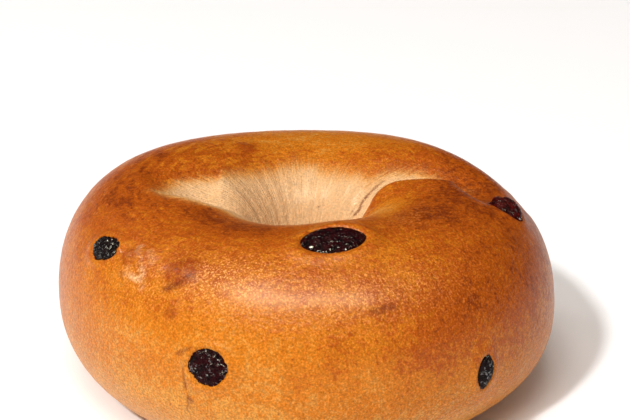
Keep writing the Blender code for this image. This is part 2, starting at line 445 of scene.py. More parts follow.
    def in_hole(self, lift: Array) -> Array:
        """How fully each lift is on the wall of the hole that faces up."""
        inward = smooth_step(-np.cos(lift), *self.stretch_inward)
        return inward * smooth_step(np.sin(lift), *self.stretch_upward)

    def dough(self, turn: Array, lift: Array) -> Array:
        """Places points on the dough with its broad relief.

        Args:
            turn: Angles round the ring.
            lift: Angles round the section.

        Returns:
            One row of X, Y and Z for each angle pair.
        """
        points = self.ring.points(turn, lift)
        relief = np.zeros(len(points))
        for around, section, phase in self.swells:
            relief += self.swell * np.cos(around * turn + phase) * np.cos(section * lift + phase)
        for fold in self.folds:
            relief += fold.relief(points, self.ring)
        for count in self.stretch_counts:
            relief += self.stretch_depth * self.in_hole(lift) * np.sin(count * turn + count)
        return points + self.ring.normals(turn, lift) * relief[:, None]

    def spot(self, turn: float, lift: float) -> tuple[Vector, Vector]:
        """Finds one place on the dough.

        Args:
            turn: Its angle round the ring, in degrees.
            lift: Its angle round the section, in degrees.

        Returns:
            The place and the ring's outward direction there.
        """
        angles = in_radians(turn, lift)
        return Vector(self.dough(*angles)[0]), Vector(self.ring.normals(*angles)[0])

    def raisin_frame(self, raisin: RaisinForm) -> tuple[Matrix, Vector]:
        """Sets a raisin in the dough.

        Args:
            raisin: The raisin.

        Returns:
            Its rotation, X along it and Z out of the crust, and its middle.
        """
        spot, normal = self.spot(raisin.turn, raisin.lift)
        angle = math.radians(raisin.turn)
        way = Vector((-math.sin(angle), math.cos(angle), 0.0))
        normal.rotate(Matrix.Rotation(math.radians(raisin.tip), 3, way))
        way = (way - normal * way.dot(normal)).normalized()
        axes = Matrix((way, normal.cross(way), normal)).transposed()
        return axes @ Matrix.Rotation(math.radians(raisin.spin), 3, "Z"), spot - normal * raisin.sink

    def beyond_raisin(self, points: Array, raisin: RaisinForm) -> Array:
        """Measures how far points lie outside the skin of a raisin.

        Args:
            points: Rows of X, Y and Z.
            raisin: The raisin.

        Returns:
            The distance, about true near the skin and negative inside it.
        """
        axes, middle = self.raisin_frame(raisin)
        half = np.array([raisin.length, raisin.width, raisin.thickness]) / 2
        local = (points - np.array(middle)) @ np.array(axes) / half
        along = np.clip(np.abs(local[:, 0]), 0.0, 1.0)
        taper = 1.0 - raisin.taper * raisin.pointed * along**raisin.taper_power
        local[:, 1:] /= taper[:, None]
        radius = np.maximum(np.linalg.norm(local, axis=1), TINY)
        return (radius / raisin.swell(local / radius[:, None]) - 1.0) * raisin.mean_radius

    def lip(self, points: Array, raisin: RaisinForm) -> Array:
        """Works out the low lip that the crust makes round a raisin.

        Args:
            points: Rows of X, Y and Z on the dough.
            raisin: The raisin.

        Returns:
            The relief along the ring's normals.
        """
        axes, middle = self.raisin_frame(raisin)
        local = (points - np.array(middle)) @ np.array(axes)
        spread = np.hypot(local[:, 0] / (raisin.length / 2), local[:, 1] / (raisin.width / 2))
        beyond = (spread - 1.0) * raisin.mean_radius / raisin.lip_width
        return raisin.lip * bell(beyond) * (np.abs(local[:, 2]) < raisin.length)

    def beside_pucker(self, points: Array, pucker: Pucker) -> Array:
        """Measures how far points lie from the line of a pucker.

        Args:
            points: Rows of X, Y and Z.
            pucker: The pucker.

        Returns:
            The distance as a share of its width.
        """
        start, end = (np.array(self.spot(*corner)[0]) for corner in (pucker.start, pucker.end))
        leg = end - start
        share = np.clip((points - start) @ leg / (leg @ leg), 0.0, 1.0)
        return np.linalg.norm(points - start - share[:, None] * leg, axis=1) / pucker.width

    def crust(self, turn: Array, lift: Array) -> tuple[Array, Array]:
        """Places points on the finished crust, pressed flat underneath.

        Args:
            turn: Angles round the ring.
            lift: Angles round the section.

        Returns:
            The points, and the distance of each from the nearest raisin's skin.
        """
        points = self.dough(turn, lift)
        relief = np.zeros(len(points))
        for raisin in self.raisins:
            relief += self.lip(points, raisin)
        for blister in self.blisters:
            middle = self.ring.points(*in_radians(blister.turn, blister.lift))[0]
            away = np.linalg.norm(points - middle, axis=1)
            relief += blister.height * bell(away, blister.radius)
        for pucker in self.puckers:
            relief += pucker.height * bell(self.beside_pucker(points, pucker))
        normals = self.ring.normals(turn, lift)
        points = points + normals * relief[:, None]
        nearest = np.min([self.beyond_raisin(points, raisin) for raisin in self.raisins], axis=0)
        moat = self.moat_depth * bell(nearest, self.moat_width)
        points = points - normals * moat[:, None]
        points[:, 2] = np.maximum(points[:, 2], 0.0)
        return points, nearest


class NodeWriter:
    """Adds nodes to one tree and links them, in shader and geometry trees alike."""

    rows_in_column: int = 8
    spacing: tuple[int, int] = (200, -180)

    def __init__(self, tree: bpy.types.NodeTree) -> None:
        """Starts writing in a tree."""
        self.tree = tree

    def add(self, kind: str, inputs: dict | None = None, **settings: object) -> bpy.types.Node:
        """Adds one node.

        Args:
            kind: The node's type.
            inputs: Values or sockets for its inputs, by name or place.
            **settings: Its own properties.

        Returns:
            The node.
        """
        node = self.tree.nodes.new(kind)
        column, row = divmod(len(self.tree.nodes), self.rows_in_column)
        node.location = (column * self.spacing[0], row * self.spacing[1])
        for name, value in settings.items():
            setattr(node, name, value)
        for name, value in (inputs or {}).items():
            self.feed(node.inputs[name], value)
        return node

    def feed(self, socket: Socket, value: object) -> None:
        """Links a socket to an input, or sets the input's value.

        Args:
            socket: The input.
            value: A socket, or the input's value.
        """
        if isinstance(value, bpy.types.NodeSocket):
            self.tree.links.new(value, socket)
        else:
            socket.default_value = value

    def math(self, operation: str, *values: object) -> Socket:
        """Adds a Math node.

        Args:
            operation: What it works out.
            *values: Its inputs.

        Returns:
            Its result.
        """
        return self.add("ShaderNodeMath", dict(enumerate(values)), operation=operation).outputs[0]

    def vector(self, operation: str, *values: object) -> Socket:
        """Adds a Vector Math node.

        Args:
            operation: What it works out.
            *values: Its inputs.

        Returns:
            Its vector result.
        """
        node = self.add("ShaderNodeVectorMath", dict(enumerate(values)), operation=operation)
        return node.outputs["Vector"]

    def measure(self, operation: str, *values: object) -> Socket:
        """Adds a Vector Math node that gives a number.

        Args:
            operation: DOT_PRODUCT, LENGTH or DISTANCE.
            *values: Its inputs.

        Returns:
            Its number.
        """
        node = self.add("ShaderNodeVectorMath", dict(enumerate(values)), operation=operation)
        return node.outputs["Value"]

    def times(self, vector: Socket, share: object) -> Socket:
        """A vector or a colour times a number."""
        node = self.add("ShaderNodeVectorMath", {"Vector": vector, "Scale": share}, operation="SCALE")
        return node.outputs["Vector"]

    def scaled(self, vector: Socket, size: object) -> Socket:
        """A vector divided by a size, so that one unit of a pattern is that size."""
        return self.times(vector, self.math("DIVIDE", 1.0, size))

    def in_plan(self, place: Socket) -> tuple[Socket, Socket]:
        """Splits a place into what lies in plan and its height.

        Args:
            place: The place.

        Returns:
            The vector with its X and Y, and its Z.
        """
        parts = self.add("ShaderNodeSeparateXYZ", {0: place}).outputs
        return self.add("ShaderNodeCombineXYZ", {0: parts[0], 1: parts[1]}).outputs[0], parts[2]

    def ramp(
        self, value: object, low: object, high: object, bottom: object = 0.0, top: object = 1.0
    ) -> Socket:
        """Maps a range onto another with a smooth step.

        Args:
            value: What is mapped.
            low: Where the result is bottom.
            high: Where the result is top.
            bottom: The result at and before low.
            top: The result at and beyond high.

        Returns:
            The result.
        """
        names = {0: value, 1: low, 2: high, 3: bottom, 4: top}
        return self.add("ShaderNodeMapRange", names, interpolation_type="SMOOTHSTEP").outputs[0]

    def noise(
        self,
        vector: Socket,
        detail: float = 2.0,
        roughness: float = 0.5,
        distortion: float = 0.0,
        scale: float = 1.0,
        fourth: object = None,
    ) -> Socket:
        """Adds a Noise Texture.

        Args:
            vector: The scaled place.
            detail: How many octaves it has.
            roughness: How strong each finer octave is.
            distortion: How far the place is warped.
            scale: How often the pattern goes into one unit.
            fourth: The fourth coordinate, for a pattern that has one.

        Returns:
            Its value, 0 to 1 round 0.5.
        """
        inputs = {"Vector": vector, "Scale": scale, "Detail": detail}
        inputs |= {"Roughness": roughness, "Distortion": distortion}
        if fourth is None:
            return self.add("ShaderNodeTexNoise", inputs).outputs[0]
        return self.add("ShaderNodeTexNoise", inputs | {"W": fourth}, noise_dimensions="4D").outputs[0]

    def blend(self, share: object, first: object, second: object) -> Socket:
        """Mixes two colours.

        Args:
            share: 0 for the first and 1 for the second.
            first: A colour or a socket.
            second: A colour or a socket.

        Returns:
            The mixed colour.
        """
        node = self.add("ShaderNodeMix", {0: share}, data_type="RGBA")
        for place, colour in ((6, first), (7, second)):
            self.feed(node.inputs[place], (*colour, 1.0) if isinstance(colour, tuple) else colour)
        return node.outputs[2]

    def attribute(self, name: str) -> Socket:
        """The value of a painted attribute, in a shader tree."""
        return self.add("ShaderNodeAttribute", attribute_name=name).outputs["Fac"]

    def total(self, *values: object) -> Socket:
        """The sum of two or more numbers or sockets."""
        return reduce(partial(self.math, "ADD"), values)

    def product(self, *values: object) -> Socket:
        """The product of two or more numbers or sockets."""
        return reduce(partial(self.math, "MULTIPLY"), values)

    def swing(self, value: Socket, reach: float) -> Socket:
        """A pattern of 0 to 1 as one that runs from minus reach to plus reach."""
        return self.math("MULTIPLY_ADD", value, 2.0 * reach, -reach)

    def bump(self, principled: bpy.types.Node, height: Socket) -> None:
        """Gives a shader a fine relief whose height is in metres."""
        node = self.add("ShaderNodeBump", {"Strength": 1.0, "Distance": 1.0, "Height": height})
        self.feed(principled.inputs["Normal"], node.outputs[0])


@dataclass(frozen=True)
class SpeckSizes:
    """How far apart specks lie, their size as a share of that, and how many places hold one."""

    spacing: float
    size: float
    share: float


class Effects:
    """The shader node groups that the finishes share, each built once."""

    mottling_spread: float = 0.28
    mottling_noise: Pair = (3.0, 0.55)
    speck_wobble_size: float = 0.0008
    speck_wobble: Point = (0.25, 0.25, 0.25)
    streak_noise: Pair = (2.0, 0.55)
    streak_range: Pair = (0.3, 0.7)
    mark_wobble_size: float = 0.0011

    def __init__(self) -> None:
        """Builds every group."""
        self.mottling = self._mottling()
        self.specks = self._specks()
        self.streaks = self._streaks()
        self.mark = self._mark()

    @staticmethod
    def _group(
        name: str, inputs: dict[str, object]
    ) -> tuple[bpy.types.NodeTree, NodeWriter, dict[str, Socket]]:
        """Starts a group with one output, its mask.

        Args:
            name: The group's name.
            inputs: Its inputs with their values; a tuple makes a vector input.

        Returns:
            The group, a writer for it and its inputs by name.
        """
        tree = bpy.data.node_groups.new(name, "ShaderNodeTree")
        for label, value in inputs.items():
            kind = "NodeSocketVector" if isinstance(value, tuple) else "NodeSocketFloat"
            socket = tree.interface.new_socket(name=label, in_out="INPUT", socket_type=kind)
            socket.default_value = value
        tree.interface.new_socket(name="Mask", in_out="OUTPUT", socket_type="NodeSocketFloat")
        writer = NodeWriter(tree)
        ways_in = writer.add("NodeGroupInput")
        return tree, writer, {label: ways_in.outputs[label] for label in inputs}

    def _mottling(self) -> bpy.types.NodeTree:
        """Soft patches of one size.

        Returns:
            The group.
        """
        inputs = {"Position": ORIGIN, "Size": 0.002, "Contrast": 1.0, "Seed": 0.0}
        tree, nodes, given = self._group("mottling", inputs)
        shift = nodes.add("ShaderNodeCombineXYZ", {0: given["Seed"], 1: given["Seed"]}).outputs[0]
        place = nodes.vector("ADD", nodes.scaled(given["Position"], given["Size"]), shift)
        spread = nodes.math("DIVIDE", self.mottling_spread, given["Contrast"])
        low = nodes.math("SUBTRACT", NOISE_MIDDLE, spread)
        high = nodes.math("ADD", NOISE_MIDDLE, spread)
        mask = nodes.ramp(nodes.noise(place, *self.mottling_noise), low, high)
        nodes.add("NodeGroupOutput", {"Mask": mask})
        return tree

    def _specks(self) -> bpy.types.NodeTree:
        """Scattered small specks.

        Returns:
            The group.
        """
        inputs = {"Position": ORIGIN, "Spacing": 0.003, "Size": 0.1, "Share": 0.3}
        tree, nodes, given = self._group("specks", inputs)
        wobbly = nodes.scaled(given["Position"], self.speck_wobble_size)
        wobble = nodes.add("ShaderNodeTexNoise", {"Vector": wobbly, "Detail": 1.0}).outputs["Color"]
        place = nodes.scaled(given["Position"], given["Spacing"])
        terms = {0: wobble, 1: self.speck_wobble, 2: place}
        shifted = nodes.add("ShaderNodeVectorMath", terms, operation="MULTIPLY_ADD").outputs[0]
        cells = nodes.add("ShaderNodeTexVoronoi", {"Vector": shifted, "Scale": 1.0}).outputs
        draw = nodes.add("ShaderNodeSeparateColor", {0: cells["Color"]}).outputs[0]
        chance = nodes.math("LESS_THAN", draw, given["Share"])
        core = nodes.math("MULTIPLY", given["Size"], 0.5)
        near = nodes.ramp(cells["Distance"], core, given["Size"], 1.0, 0.0)
        nodes.add("NodeGroupOutput", {"Mask": nodes.math("MULTIPLY", near, chance)})
        return tree

    def _streaks(self) -> bpy.types.NodeTree:
        """Streaks that run round the ring, or down its wall where they are short round it.

        Returns:
            The group.
        """
        inputs = {"Position": ORIGIN, "Width": 0.0015, "Turns": 3.0, "Seed": 0.0}
        tree, nodes, given = self._group("ring_streaks", inputs)
        flat, up = nodes.in_plan(given["Position"])
        radius = nodes.math("DIVIDE", nodes.measure("LENGTH", flat), given["Width"])
        height = nodes.math("DIVIDE", up, given["Width"])
        way = nodes.add("ShaderNodeSeparateXYZ", {0: nodes.vector("NORMALIZE", flat)}).outputs
        east = nodes.math("MULTIPLY", way[0], given["Turns"])
        north = nodes.math("MULTIPLY_ADD", way[1], given["Turns"], given["Seed"])
        place = nodes.add("ShaderNodeCombineXYZ", {0: radius, 1: height, 2: east}).outputs[0]
        noise = nodes.noise(place, *self.streak_noise, fourth=north)
        nodes.add("NodeGroupOutput", {"Mask": nodes.ramp(noise, *self.streak_range)})
        return tree

    def _mark(self) -> bpy.types.NodeTree:
        """A ragged line between two places on the crust.

        Returns:
            The group.
        """
        inputs = {"Position": ORIGIN, "Start": ORIGIN, "End": ORIGIN, "Width": 0.0005, "Ragged": 0.0003}
        tree, nodes, given = self._group("crust_mark", inputs)
        wobbly = nodes.scaled(given["Position"], self.mark_wobble_size)
        wobble = nodes.add("ShaderNodeTexNoise", {"Vector": wobbly, "Detail": 2.0}).outputs["Color"]
        centred = nodes.vector("SUBTRACT", wobble, (NOISE_MIDDLE, NOISE_MIDDLE, NOISE_MIDDLE))
        shifted = nodes.vector("ADD", given["Position"], nodes.times(centred, given["Ragged"]))
        offset = nodes.vector("SUBTRACT", shifted, given["Start"])
        leg = nodes.vector("SUBTRACT", given["End"], given["Start"])
        along = nodes.measure("DOT_PRODUCT", offset, leg)
        share = nodes.math("DIVIDE", along, nodes.measure("DOT_PRODUCT", leg, leg))
        clamped = nodes.add("ShaderNodeClamp", {0: share}).outputs[0]
        away = nodes.measure("DISTANCE", offset, nodes.times(leg, clamped))
        nodes.add("NodeGroupOutput", {"Mask": nodes.ramp(away, 0.0, given["Width"], 1.0, 0.0)})
        return tree

    @staticmethod
    def place(nodes: NodeWriter, group: bpy.types.NodeTree, **inputs: object) -> Socket:
        """Places a group in a material.

        Args:
            nodes: The material's writer.
            group: The group.
            **inputs: Its inputs by name.

        Returns:
            Its mask.
        """
        node = nodes.add("ShaderNodeGroup", node_tree=group)
        for name, value in inputs.items():
            nodes.feed(node.inputs[name], value)
        return node.outputs[0]

    def scattered(self, nodes: NodeWriter, place: Socket, sizes: SpeckSizes) -> Socket:
        """Specks of the given sizes in a material."""
        given = {"Spacing": sizes.spacing, "Size": sizes.size, "Share": sizes.share}
        return self.place(nodes, self.specks, Position=place, **given)


def new_material(
    name: str, **values: object
) -> tuple[bpy.types.Material, NodeWriter, bpy.types.Node]:
    """Starts a material.

    Args:
        name: The material's name.
        **values: Values for sockets of its Principled shader, with an underscore for a space.

    Returns:
        The material, a writer for its nodes and its Principled shader.
    """
    material = bpy.data.materials.new(name)
    material.use_nodes = True
    principled = material.node_tree.nodes["Principled BSDF"]
    for label, value in values.items():
        principled.inputs[label.replace("_", " ")].default_value = value
    return material, NodeWriter(material.node_tree), principled


@dataclass(frozen=True)
class Mark:
    """A dark line or spot in the crust, from one turn and lift to another; some lines are painted shade in
    creases.
    """

    start: Pair
    end: Pair
    width: float
    strength: float


@dataclass(frozen=True)
class Patterns:
    """The patterns that the crust's colours and its relief share, as sockets of its material."""

    place: Socket
    broad: Socket
    fine: Socket
    along: Socket
    down: Socket
    grain: Socket


@dataclass(frozen=True)
class CrustFinish:
    """The browned, glossy crust with its pale dough in the hole."""

    golden: Colour = (0.60, 0.252, 0.040)
    amber: Colour = (0.52, 0.150, 0.0055)
    brown: Colour = (0.37, 0.070, 0.0018)
    umber: Colour = (0.19, 0.027, 0.0008)
    dough: Colour = (0.73, 0.46, 0.24)
    tan: Colour = (0.60, 0.27, 0.065)
    # The colour of the painted highlight along the puckers.
    painted_highlight: Colour = (0.95, 0.79, 0.50)
    stain: Colour = (0.27, 0.042, 0.0022)
    # A pale colour for faint pale specks, and for painted sparkling highlights in the sheen.
    fleck_and_sparkle: Colour = (0.86, 0.50, 0.17)
    # The colour of the dark marks, and of the painted shade along creases.
    char_and_crease_shade: Colour = (0.17, 0.020, 0.0008)
    roughness: float = 0.36
    roughness_by_pale: float = 0.16
    roughness_by_fine: float = 0.05
    coat: float = 0.12
    coat_roughness: float = 0.20
    refraction: float = 1.22
    broad_size: float = 0.0075
    broad_contrast: float = 1.0
    fine_size: float = 0.0012
    fine_contrast: float = 1.1
    fine_seed: float = 3.0
    along_width: float = 0.0013
    along_turns: float = 7.0
    down_width: float = 0.006
    down_turns: float = 85.0
    down_seed: float = 5.0
    grain_size: float = 0.00045
    grain_roughness: float = 0.65
    bake_steps: tuple[float, ...] = (0.0, 0.35, 0.7, 1.0)
    bake_by_broad: float = 0.12
    bake_by_fine: float = 0.17
    bake_by_along: float = 0.17
    pale_by_broad: float = 0.08
    pale_by_down: float = 0.10
    pale_range: Pair = (0.02, 0.98)
    crust_to_tan: Pair = (0.0, 0.6)
    tan_to_dough: Pair = (0.3, 1.0)
    tan_in_dough: float = 0.22
    specks: SpeckSizes = SpeckSizes(0.0026, 0.13, 0.35)
    speck_strength: float = 0.50
    # Where the grain turns pale: painted sparkling highlights in the sheen, faint pale specks elsewhere.
    fleck_and_sparkle_range: Pair = (0.50, 0.68)
    painted_sparkle_strength: float = 0.42
    fleck_elsewhere: float = 0.04
    stain_by_fine: Ramp = (0.2, 0.7, 0.60, 1.0)
    # How the grain breaks up the painted highlight along the puckers.
    painted_shine_by_grain: Ramp = (0.30, 0.50, 0.45, 1.0)
    grain_by_pale: Ramp = (0.1, 0.7, 1.8, 0.8)
    shade_by_fine: float = 0.06
    peel_size: float = 0.00095
    peel_noise: Pair = (3.0, 0.62)
    peel_height: float = 0.00030
    fine_height: float = 0.00006
    along_height: float = 0.00006
    down_height: float = 0.00010
    pores: SpeckSizes = SpeckSizes(0.0016, 0.20, 0.3)
    pore_depth: float = 0.00003
    mark_depth: float = 0.00015
    mark_raggedness: float = 2.2
    break_size: float = 0.0006
    break_roughness: float = 0.6
    break_range: Pair = (0.25, 0.55)
    marks: tuple[Mark, ...] = (
        # Painted shade along the crease in the hole.
        Mark((26.0, 142.0), (25.4, 138.3), 0.0006, 0.85),
        Mark((25.4, 138.3), (30.0, 133.8), 0.0006, 0.85),
        Mark((30.0, 133.8), (32.8, 126.5), 0.0006, 0.90),
        Mark((32.8, 126.5), (33.6, 120.0), 0.0005, 0.80),
        Mark((33.6, 120.0), (34.4, 114.8), 0.0004, 0.50),
        # Painted shade along the crease under the big blister.
        Mark((235.2, 43.5), (238.2, 47.6), 0.0011, 1.0),
        Mark((238.2, 47.6), (240.8, 52.6), 0.0011, 1.0),
        Mark((285.4, 38.4), (287.6, 38.8), 0.0011, 0.7),
        Mark((288.6, 39.4), (290.6, 39.6), 0.0012, 0.7),
        Mark((317.6, 98.6), (320.6, 99.0), 0.0014, 0.45),
        Mark((322.8, 84.1), (325.2, 84.8), 0.0012, 0.5),
        Mark((313.2, 80.5), (316.0, 80.6), 0.0012, 0.4),
        Mark((278.0, 61.0), (279.0, 61.5), 0.0008, 0.4),
        Mark((219.2, 42.0), (220.2, 41.6), 0.0010, 0.6),
        # Painted shade along the crack beside the round raisin.
        Mark((243.0, 17.0), (246.0, 21.0), 0.0009, 0.75),
        Mark((244.6, 12.0), (245.0, 2.0), 0.0007, 0.9),
        Mark((245.5, -4.0), (246.0, -6.0), 0.0010, 0.8),
        Mark((245.3, -6.0), (245.0, -13.0), 0.0005, 0.6),
        Mark((200.0, 113.0), (200.5, 113.5), 0.0006, 0.5),
    )

    def build(self, form: BagelForm, effects: Effects) -> bpy.types.Material:
        """Builds the crust's material.

        Args:
            form: The form that the marks lie on.
            effects: The shared groups.

        Returns:
            The material.
        """
        material, nodes, principled = new_material(
            "crust",
            Roughness=self.roughness,
            Coat_Weight=self.coat,
            Coat_Roughness=self.coat_roughness,
            IOR=self.refraction,
        )
        patterns = self._patterns(nodes, effects)
        pale = nodes.total(
            nodes.attribute("pale"),
            nodes.swing(patterns.broad, self.pale_by_broad),
            nodes.swing(patterns.down, self.pale_by_down),
        )
        pale = nodes.ramp(pale, *self.pale_range)
        dark = self._marked(nodes, form, effects, patterns.place)
        colour = self._browned(nodes, patterns)
        colour = self._paled(nodes, patterns, pale, colour)
        colour = self._specks_stains_and_painted_highlights(nodes, effects, patterns, colour)
        colour = self._shaded(nodes, patterns, pale, colour)
        # The dark marks and the painted shade along the creases darken the colour.
        nodes.feed(principled.inputs["Base Color"], nodes.blend(dark, colour, self.char_and_crease_shade))
        rougher = nodes.math("MULTIPLY", pale, self.roughness_by_pale)
        uneven = nodes.swing(patterns.fine, self.roughness_by_fine)
        nodes.feed(principled.inputs["Roughness"], nodes.total(self.roughness, rougher, uneven))
        nodes.bump(principled, self._height(nodes, effects, patterns, pale, dark))
        return material

    def _patterns(self, nodes: NodeWriter, effects: Effects) -> Patterns:
        """Places the patterns that the colours and the relief share.

        Args:
            nodes: The material's writer.
            effects: The shared groups.

        Returns:
            The patterns.
        """
        place = nodes.add("ShaderNodeTexCoord").outputs["Object"]
        mottled = partial(effects.place, nodes, effects.mottling, Position=place)
        streaked = partial(effects.place, nodes, effects.streaks, Position=place)
        return Patterns(
            place=place,
            broad=mottled(Size=self.broad_size, Contrast=self.broad_contrast),
            fine=mottled(Size=self.fine_size, Contrast=self.fine_contrast, Seed=self.fine_seed),
            along=streaked(Width=self.along_width, Turns=self.along_turns),
            down=streaked(Width=self.down_width, Turns=self.down_turns, Seed=self.down_seed),
            grain=nodes.noise(nodes.scaled(place, self.grain_size), roughness=self.grain_roughness),
        )

    def _browned(self, nodes: NodeWriter, patterns: Patterns) -> Socket:
        """Colours the crust by how far it is baked.

        Args:
            nodes: The material's writer.
            patterns: The shared patterns.

        Returns:
            The colour.
        """
        streaks = nodes.product(nodes.swing(patterns.along, self.bake_by_along), nodes.attribute("streaky"))
        bake = nodes.total(
            nodes.attribute("bake"),
            nodes.swing(patterns.broad, self.bake_by_broad),
            nodes.swing(patterns.fine, self.bake_by_fine),
            streaks,
        )
        colour: object = self.golden
        darker = (self.amber, self.brown, self.umber)
        for low, high, tone in zip(self.bake_steps, self.bake_steps[1:], darker):
            colour = nodes.blend(nodes.ramp(bake, low, high), colour, tone)
        return colour

    def _paled(self, nodes: NodeWriter, patterns: Patterns, pale: Socket, colour: Socket) -> Socket:
        """Lets the pale dough show.

        Args:
            nodes: The material's writer.
            patterns: The shared patterns.
            pale: How far the dough shows.
            colour: The colour so far.

        Returns:
            The colour.
        """
        patches = nodes.math("ADD", patterns.fine, patterns.down)
        dough = nodes.blend(nodes.math("MULTIPLY", patches, self.tan_in_dough), self.dough, self.tan)
        light = nodes.blend(nodes.ramp(pale, *self.tan_to_dough), self.tan, dough)
        return nodes.blend(nodes.ramp(pale, *self.crust_to_tan), colour, light)

    def _specks_stains_and_painted_highlights(self, nodes: NodeWriter, effects: Effects, patterns: Patterns, colour: Socket) -> Socket:
        """Adds dark specks, pale specks with painted sparkling in the sheen, the blisters' stains and painted
        highlights on the puckers.

        Args:
            nodes: The material's writer.
            effects: The shared groups.
            patterns: The shared patterns.
            colour: The colour so far.

        Returns:
            The colour.
        """
        specks = effects.scattered(nodes, patterns.place, self.specks)
        colour = nodes.blend(nodes.math("MULTIPLY", specks, self.speck_strength), colour, self.umber)
        # Painted sparkling highlights where the sheen falls on the crown, faint pale specks elsewhere.
        painted_sparkle = nodes.attribute("painted_sparkle")
        strength = nodes.math("MULTIPLY_ADD", painted_sparkle, self.painted_sparkle_strength, self.fleck_elsewhere)
        flecks_and_sparkles = nodes.math("MULTIPLY", nodes.ramp(patterns.grain, *self.fleck_and_sparkle_range), strength)
        colour = nodes.blend(flecks_and_sparkles, colour, self.fleck_and_sparkle)
        stain = nodes.product(nodes.attribute("stain"), nodes.ramp(patterns.fine, *self.stain_by_fine))
        colour = nodes.blend(stain, colour, self.stain)
        # A painted highlight along the puckers.
        painted_shine = nodes.product(nodes.attribute("painted_shine"), nodes.ramp(patterns.grain, *self.painted_shine_by_grain))
        return nodes.blend(painted_shine, colour, self.painted_highlight)

    def _shaded(self, nodes: NodeWriter, patterns: Patterns, pale: Socket, colour: Socket) -> Socket:
        """Makes the colour lighter and darker by the grain and the fine mottling.

        Args:
            nodes: The material's writer.
            patterns: The shared patterns.
            pale: How far the dough shows.
            colour: The colour so far.

        Returns:
            The colour.
        """
        centred = nodes.math("SUBTRACT", patterns.grain, NOISE_MIDDLE)
        contrast = nodes.ramp(pale, *self.grain_by_pale)
        grain = nodes.math("MULTIPLY_ADD", centred, contrast, 1.0)
        return nodes.times(colour, nodes.total(grain, nodes.swing(patterns.fine, self.shade_by_fine)))

    def _marked(self, nodes: NodeWriter, form: BagelForm, effects: Effects, place: Socket) -> Socket:
        """Adds up the dark marks and the painted shade along the creases.

        Args:
            nodes: The material's writer.
            form: The form that the marks lie on.
            effects: The shared groups.
            place: Object coordinates.

        Returns:
            How dark each place is.
        """
        dark: object = 0.0
        for mark in self.marks:
            start, end = (tuple(form.spot(*corner)[0]) for corner in (mark.start, mark.end))
            ragged = mark.width * self.mark_raggedness
            line = {"Start": start, "End": end, "Width": mark.width, "Ragged": ragged}
            mask = effects.place(nodes, effects.mark, Position=place, **line)
            dark = nodes.math("MAXIMUM", dark, nodes.math("MULTIPLY", mask, mark.strength))
        broken = nodes.noise(nodes.scaled(place, self.break_size), roughness=self.break_roughness)
        return nodes.math("MULTIPLY", dark, nodes.ramp(broken, *self.break_range))

    def _height(
        self, nodes: NodeWriter, effects: Effects, patterns: Patterns, pale: Socket, dark: Socket
    ) -> Socket:
        """Adds up the fine relief of the skin, in metres.

        Args:
            nodes: The material's writer.
            effects: The shared groups.
            patterns: The shared patterns.
            pale: Where the pale dough shows.
            dark: The dark marks.

        Returns:
            The height.
        """
        peel = nodes.noise(nodes.scaled(patterns.place, self.peel_size), *self.peel_noise)
        pores = effects.scattered(nodes, patterns.place, self.pores)
        return nodes.total(
            nodes.product(peel, self.peel_height),
            nodes.product(patterns.fine, self.fine_height),
            nodes.product(patterns.along, nodes.attribute("streaky"), self.along_height),
            nodes.product(patterns.down, pale, self.down_height),
            nodes.product(pores, -self.pore_depth),
            nodes.product(dark, -self.mark_depth),
        )


@dataclass(frozen=True)
class RaisinFinish:
    """The wrinkled skin of a raisin."""

    name: str
    deep: Colour
    ridge: Colour
    bloom: float
    roughness: float
    gloss: float = 1.0
    plain_gloss: float = 0.04
    sugar: Colour = (0.30, 0.24, 0.24)
    sugar_size: float = 0.0007
    sugar_contrast: float = 2.0
    sugar_seed: float = 9.0
    patch_size: float = 0.0016
    patch_contrast: float = 1.2
    roughness_by_patch: float = 0.08
    coat_roughness: float = 0.05
    refraction: float = 1.55
    fold_size: float = 0.0014
    fold_noise: Point = (3.0, 0.5, 1.0)
    fold_height: float = 0.0013
    grain_size: float = 0.0009
    grain_height: float = 0.00020
    glint_grain: Pair = (0.53, 0.60)
    glint_folds: Pair = (0.03, 0.09)

    def build(self, effects: Effects) -> bpy.types.Material:
        """Builds the skin's material.

        Args:
            effects: The shared groups.

        Returns:
            The material.
        """
        material, nodes, principled = new_material(
            self.name, Roughness=self.roughness, Coat_Roughness=self.coat_roughness, IOR=self.refraction
        )
        place = nodes.add("ShaderNodeTexCoord").outputs["Object"]
        mottled = partial(effects.place, nodes, effects.mottling, Position=place)
        patches = mottled(Size=self.patch_size, Contrast=self.patch_contrast)
        sugar = mottled(Size=self.sugar_size, Contrast=self.sugar_contrast, Seed=self.sugar_seed)
        colour = nodes.blend(patches, self.deep, self.ridge)
        colour = nodes.blend(nodes.math("MULTIPLY", sugar, self.bloom), colour, self.sugar)
        nodes.feed(principled.inputs["Base Color"], colour)
        least = self.roughness - self.roughness_by_patch
        rough = nodes.math("MULTIPLY_ADD", patches, 2.0 * self.roughness_by_patch, least)
        nodes.feed(principled.inputs["Roughness"], rough)
        warped = nodes.noise(nodes.scaled(place, self.fold_size), *self.fold_noise)
        folds = nodes.math("ABSOLUTE", nodes.math("SUBTRACT", warped, NOISE_MIDDLE))
        grain = nodes.noise(nodes.scaled(place, self.grain_size))
        glints = nodes.product(nodes.ramp(grain, *self.glint_grain), nodes.ramp(folds, *self.glint_folds))
        specular = nodes.math("MULTIPLY_ADD", glints, self.gloss, self.plain_gloss)
        nodes.feed(principled.inputs["Specular IOR Level"], specular)
        nodes.feed(principled.inputs["Coat Weight"], nodes.math("MULTIPLY", glints, self.gloss))
        height = nodes.total(nodes.product(folds, self.fold_height), nodes.product(grain, self.grain_height))
        nodes.bump(principled, height)
        return material


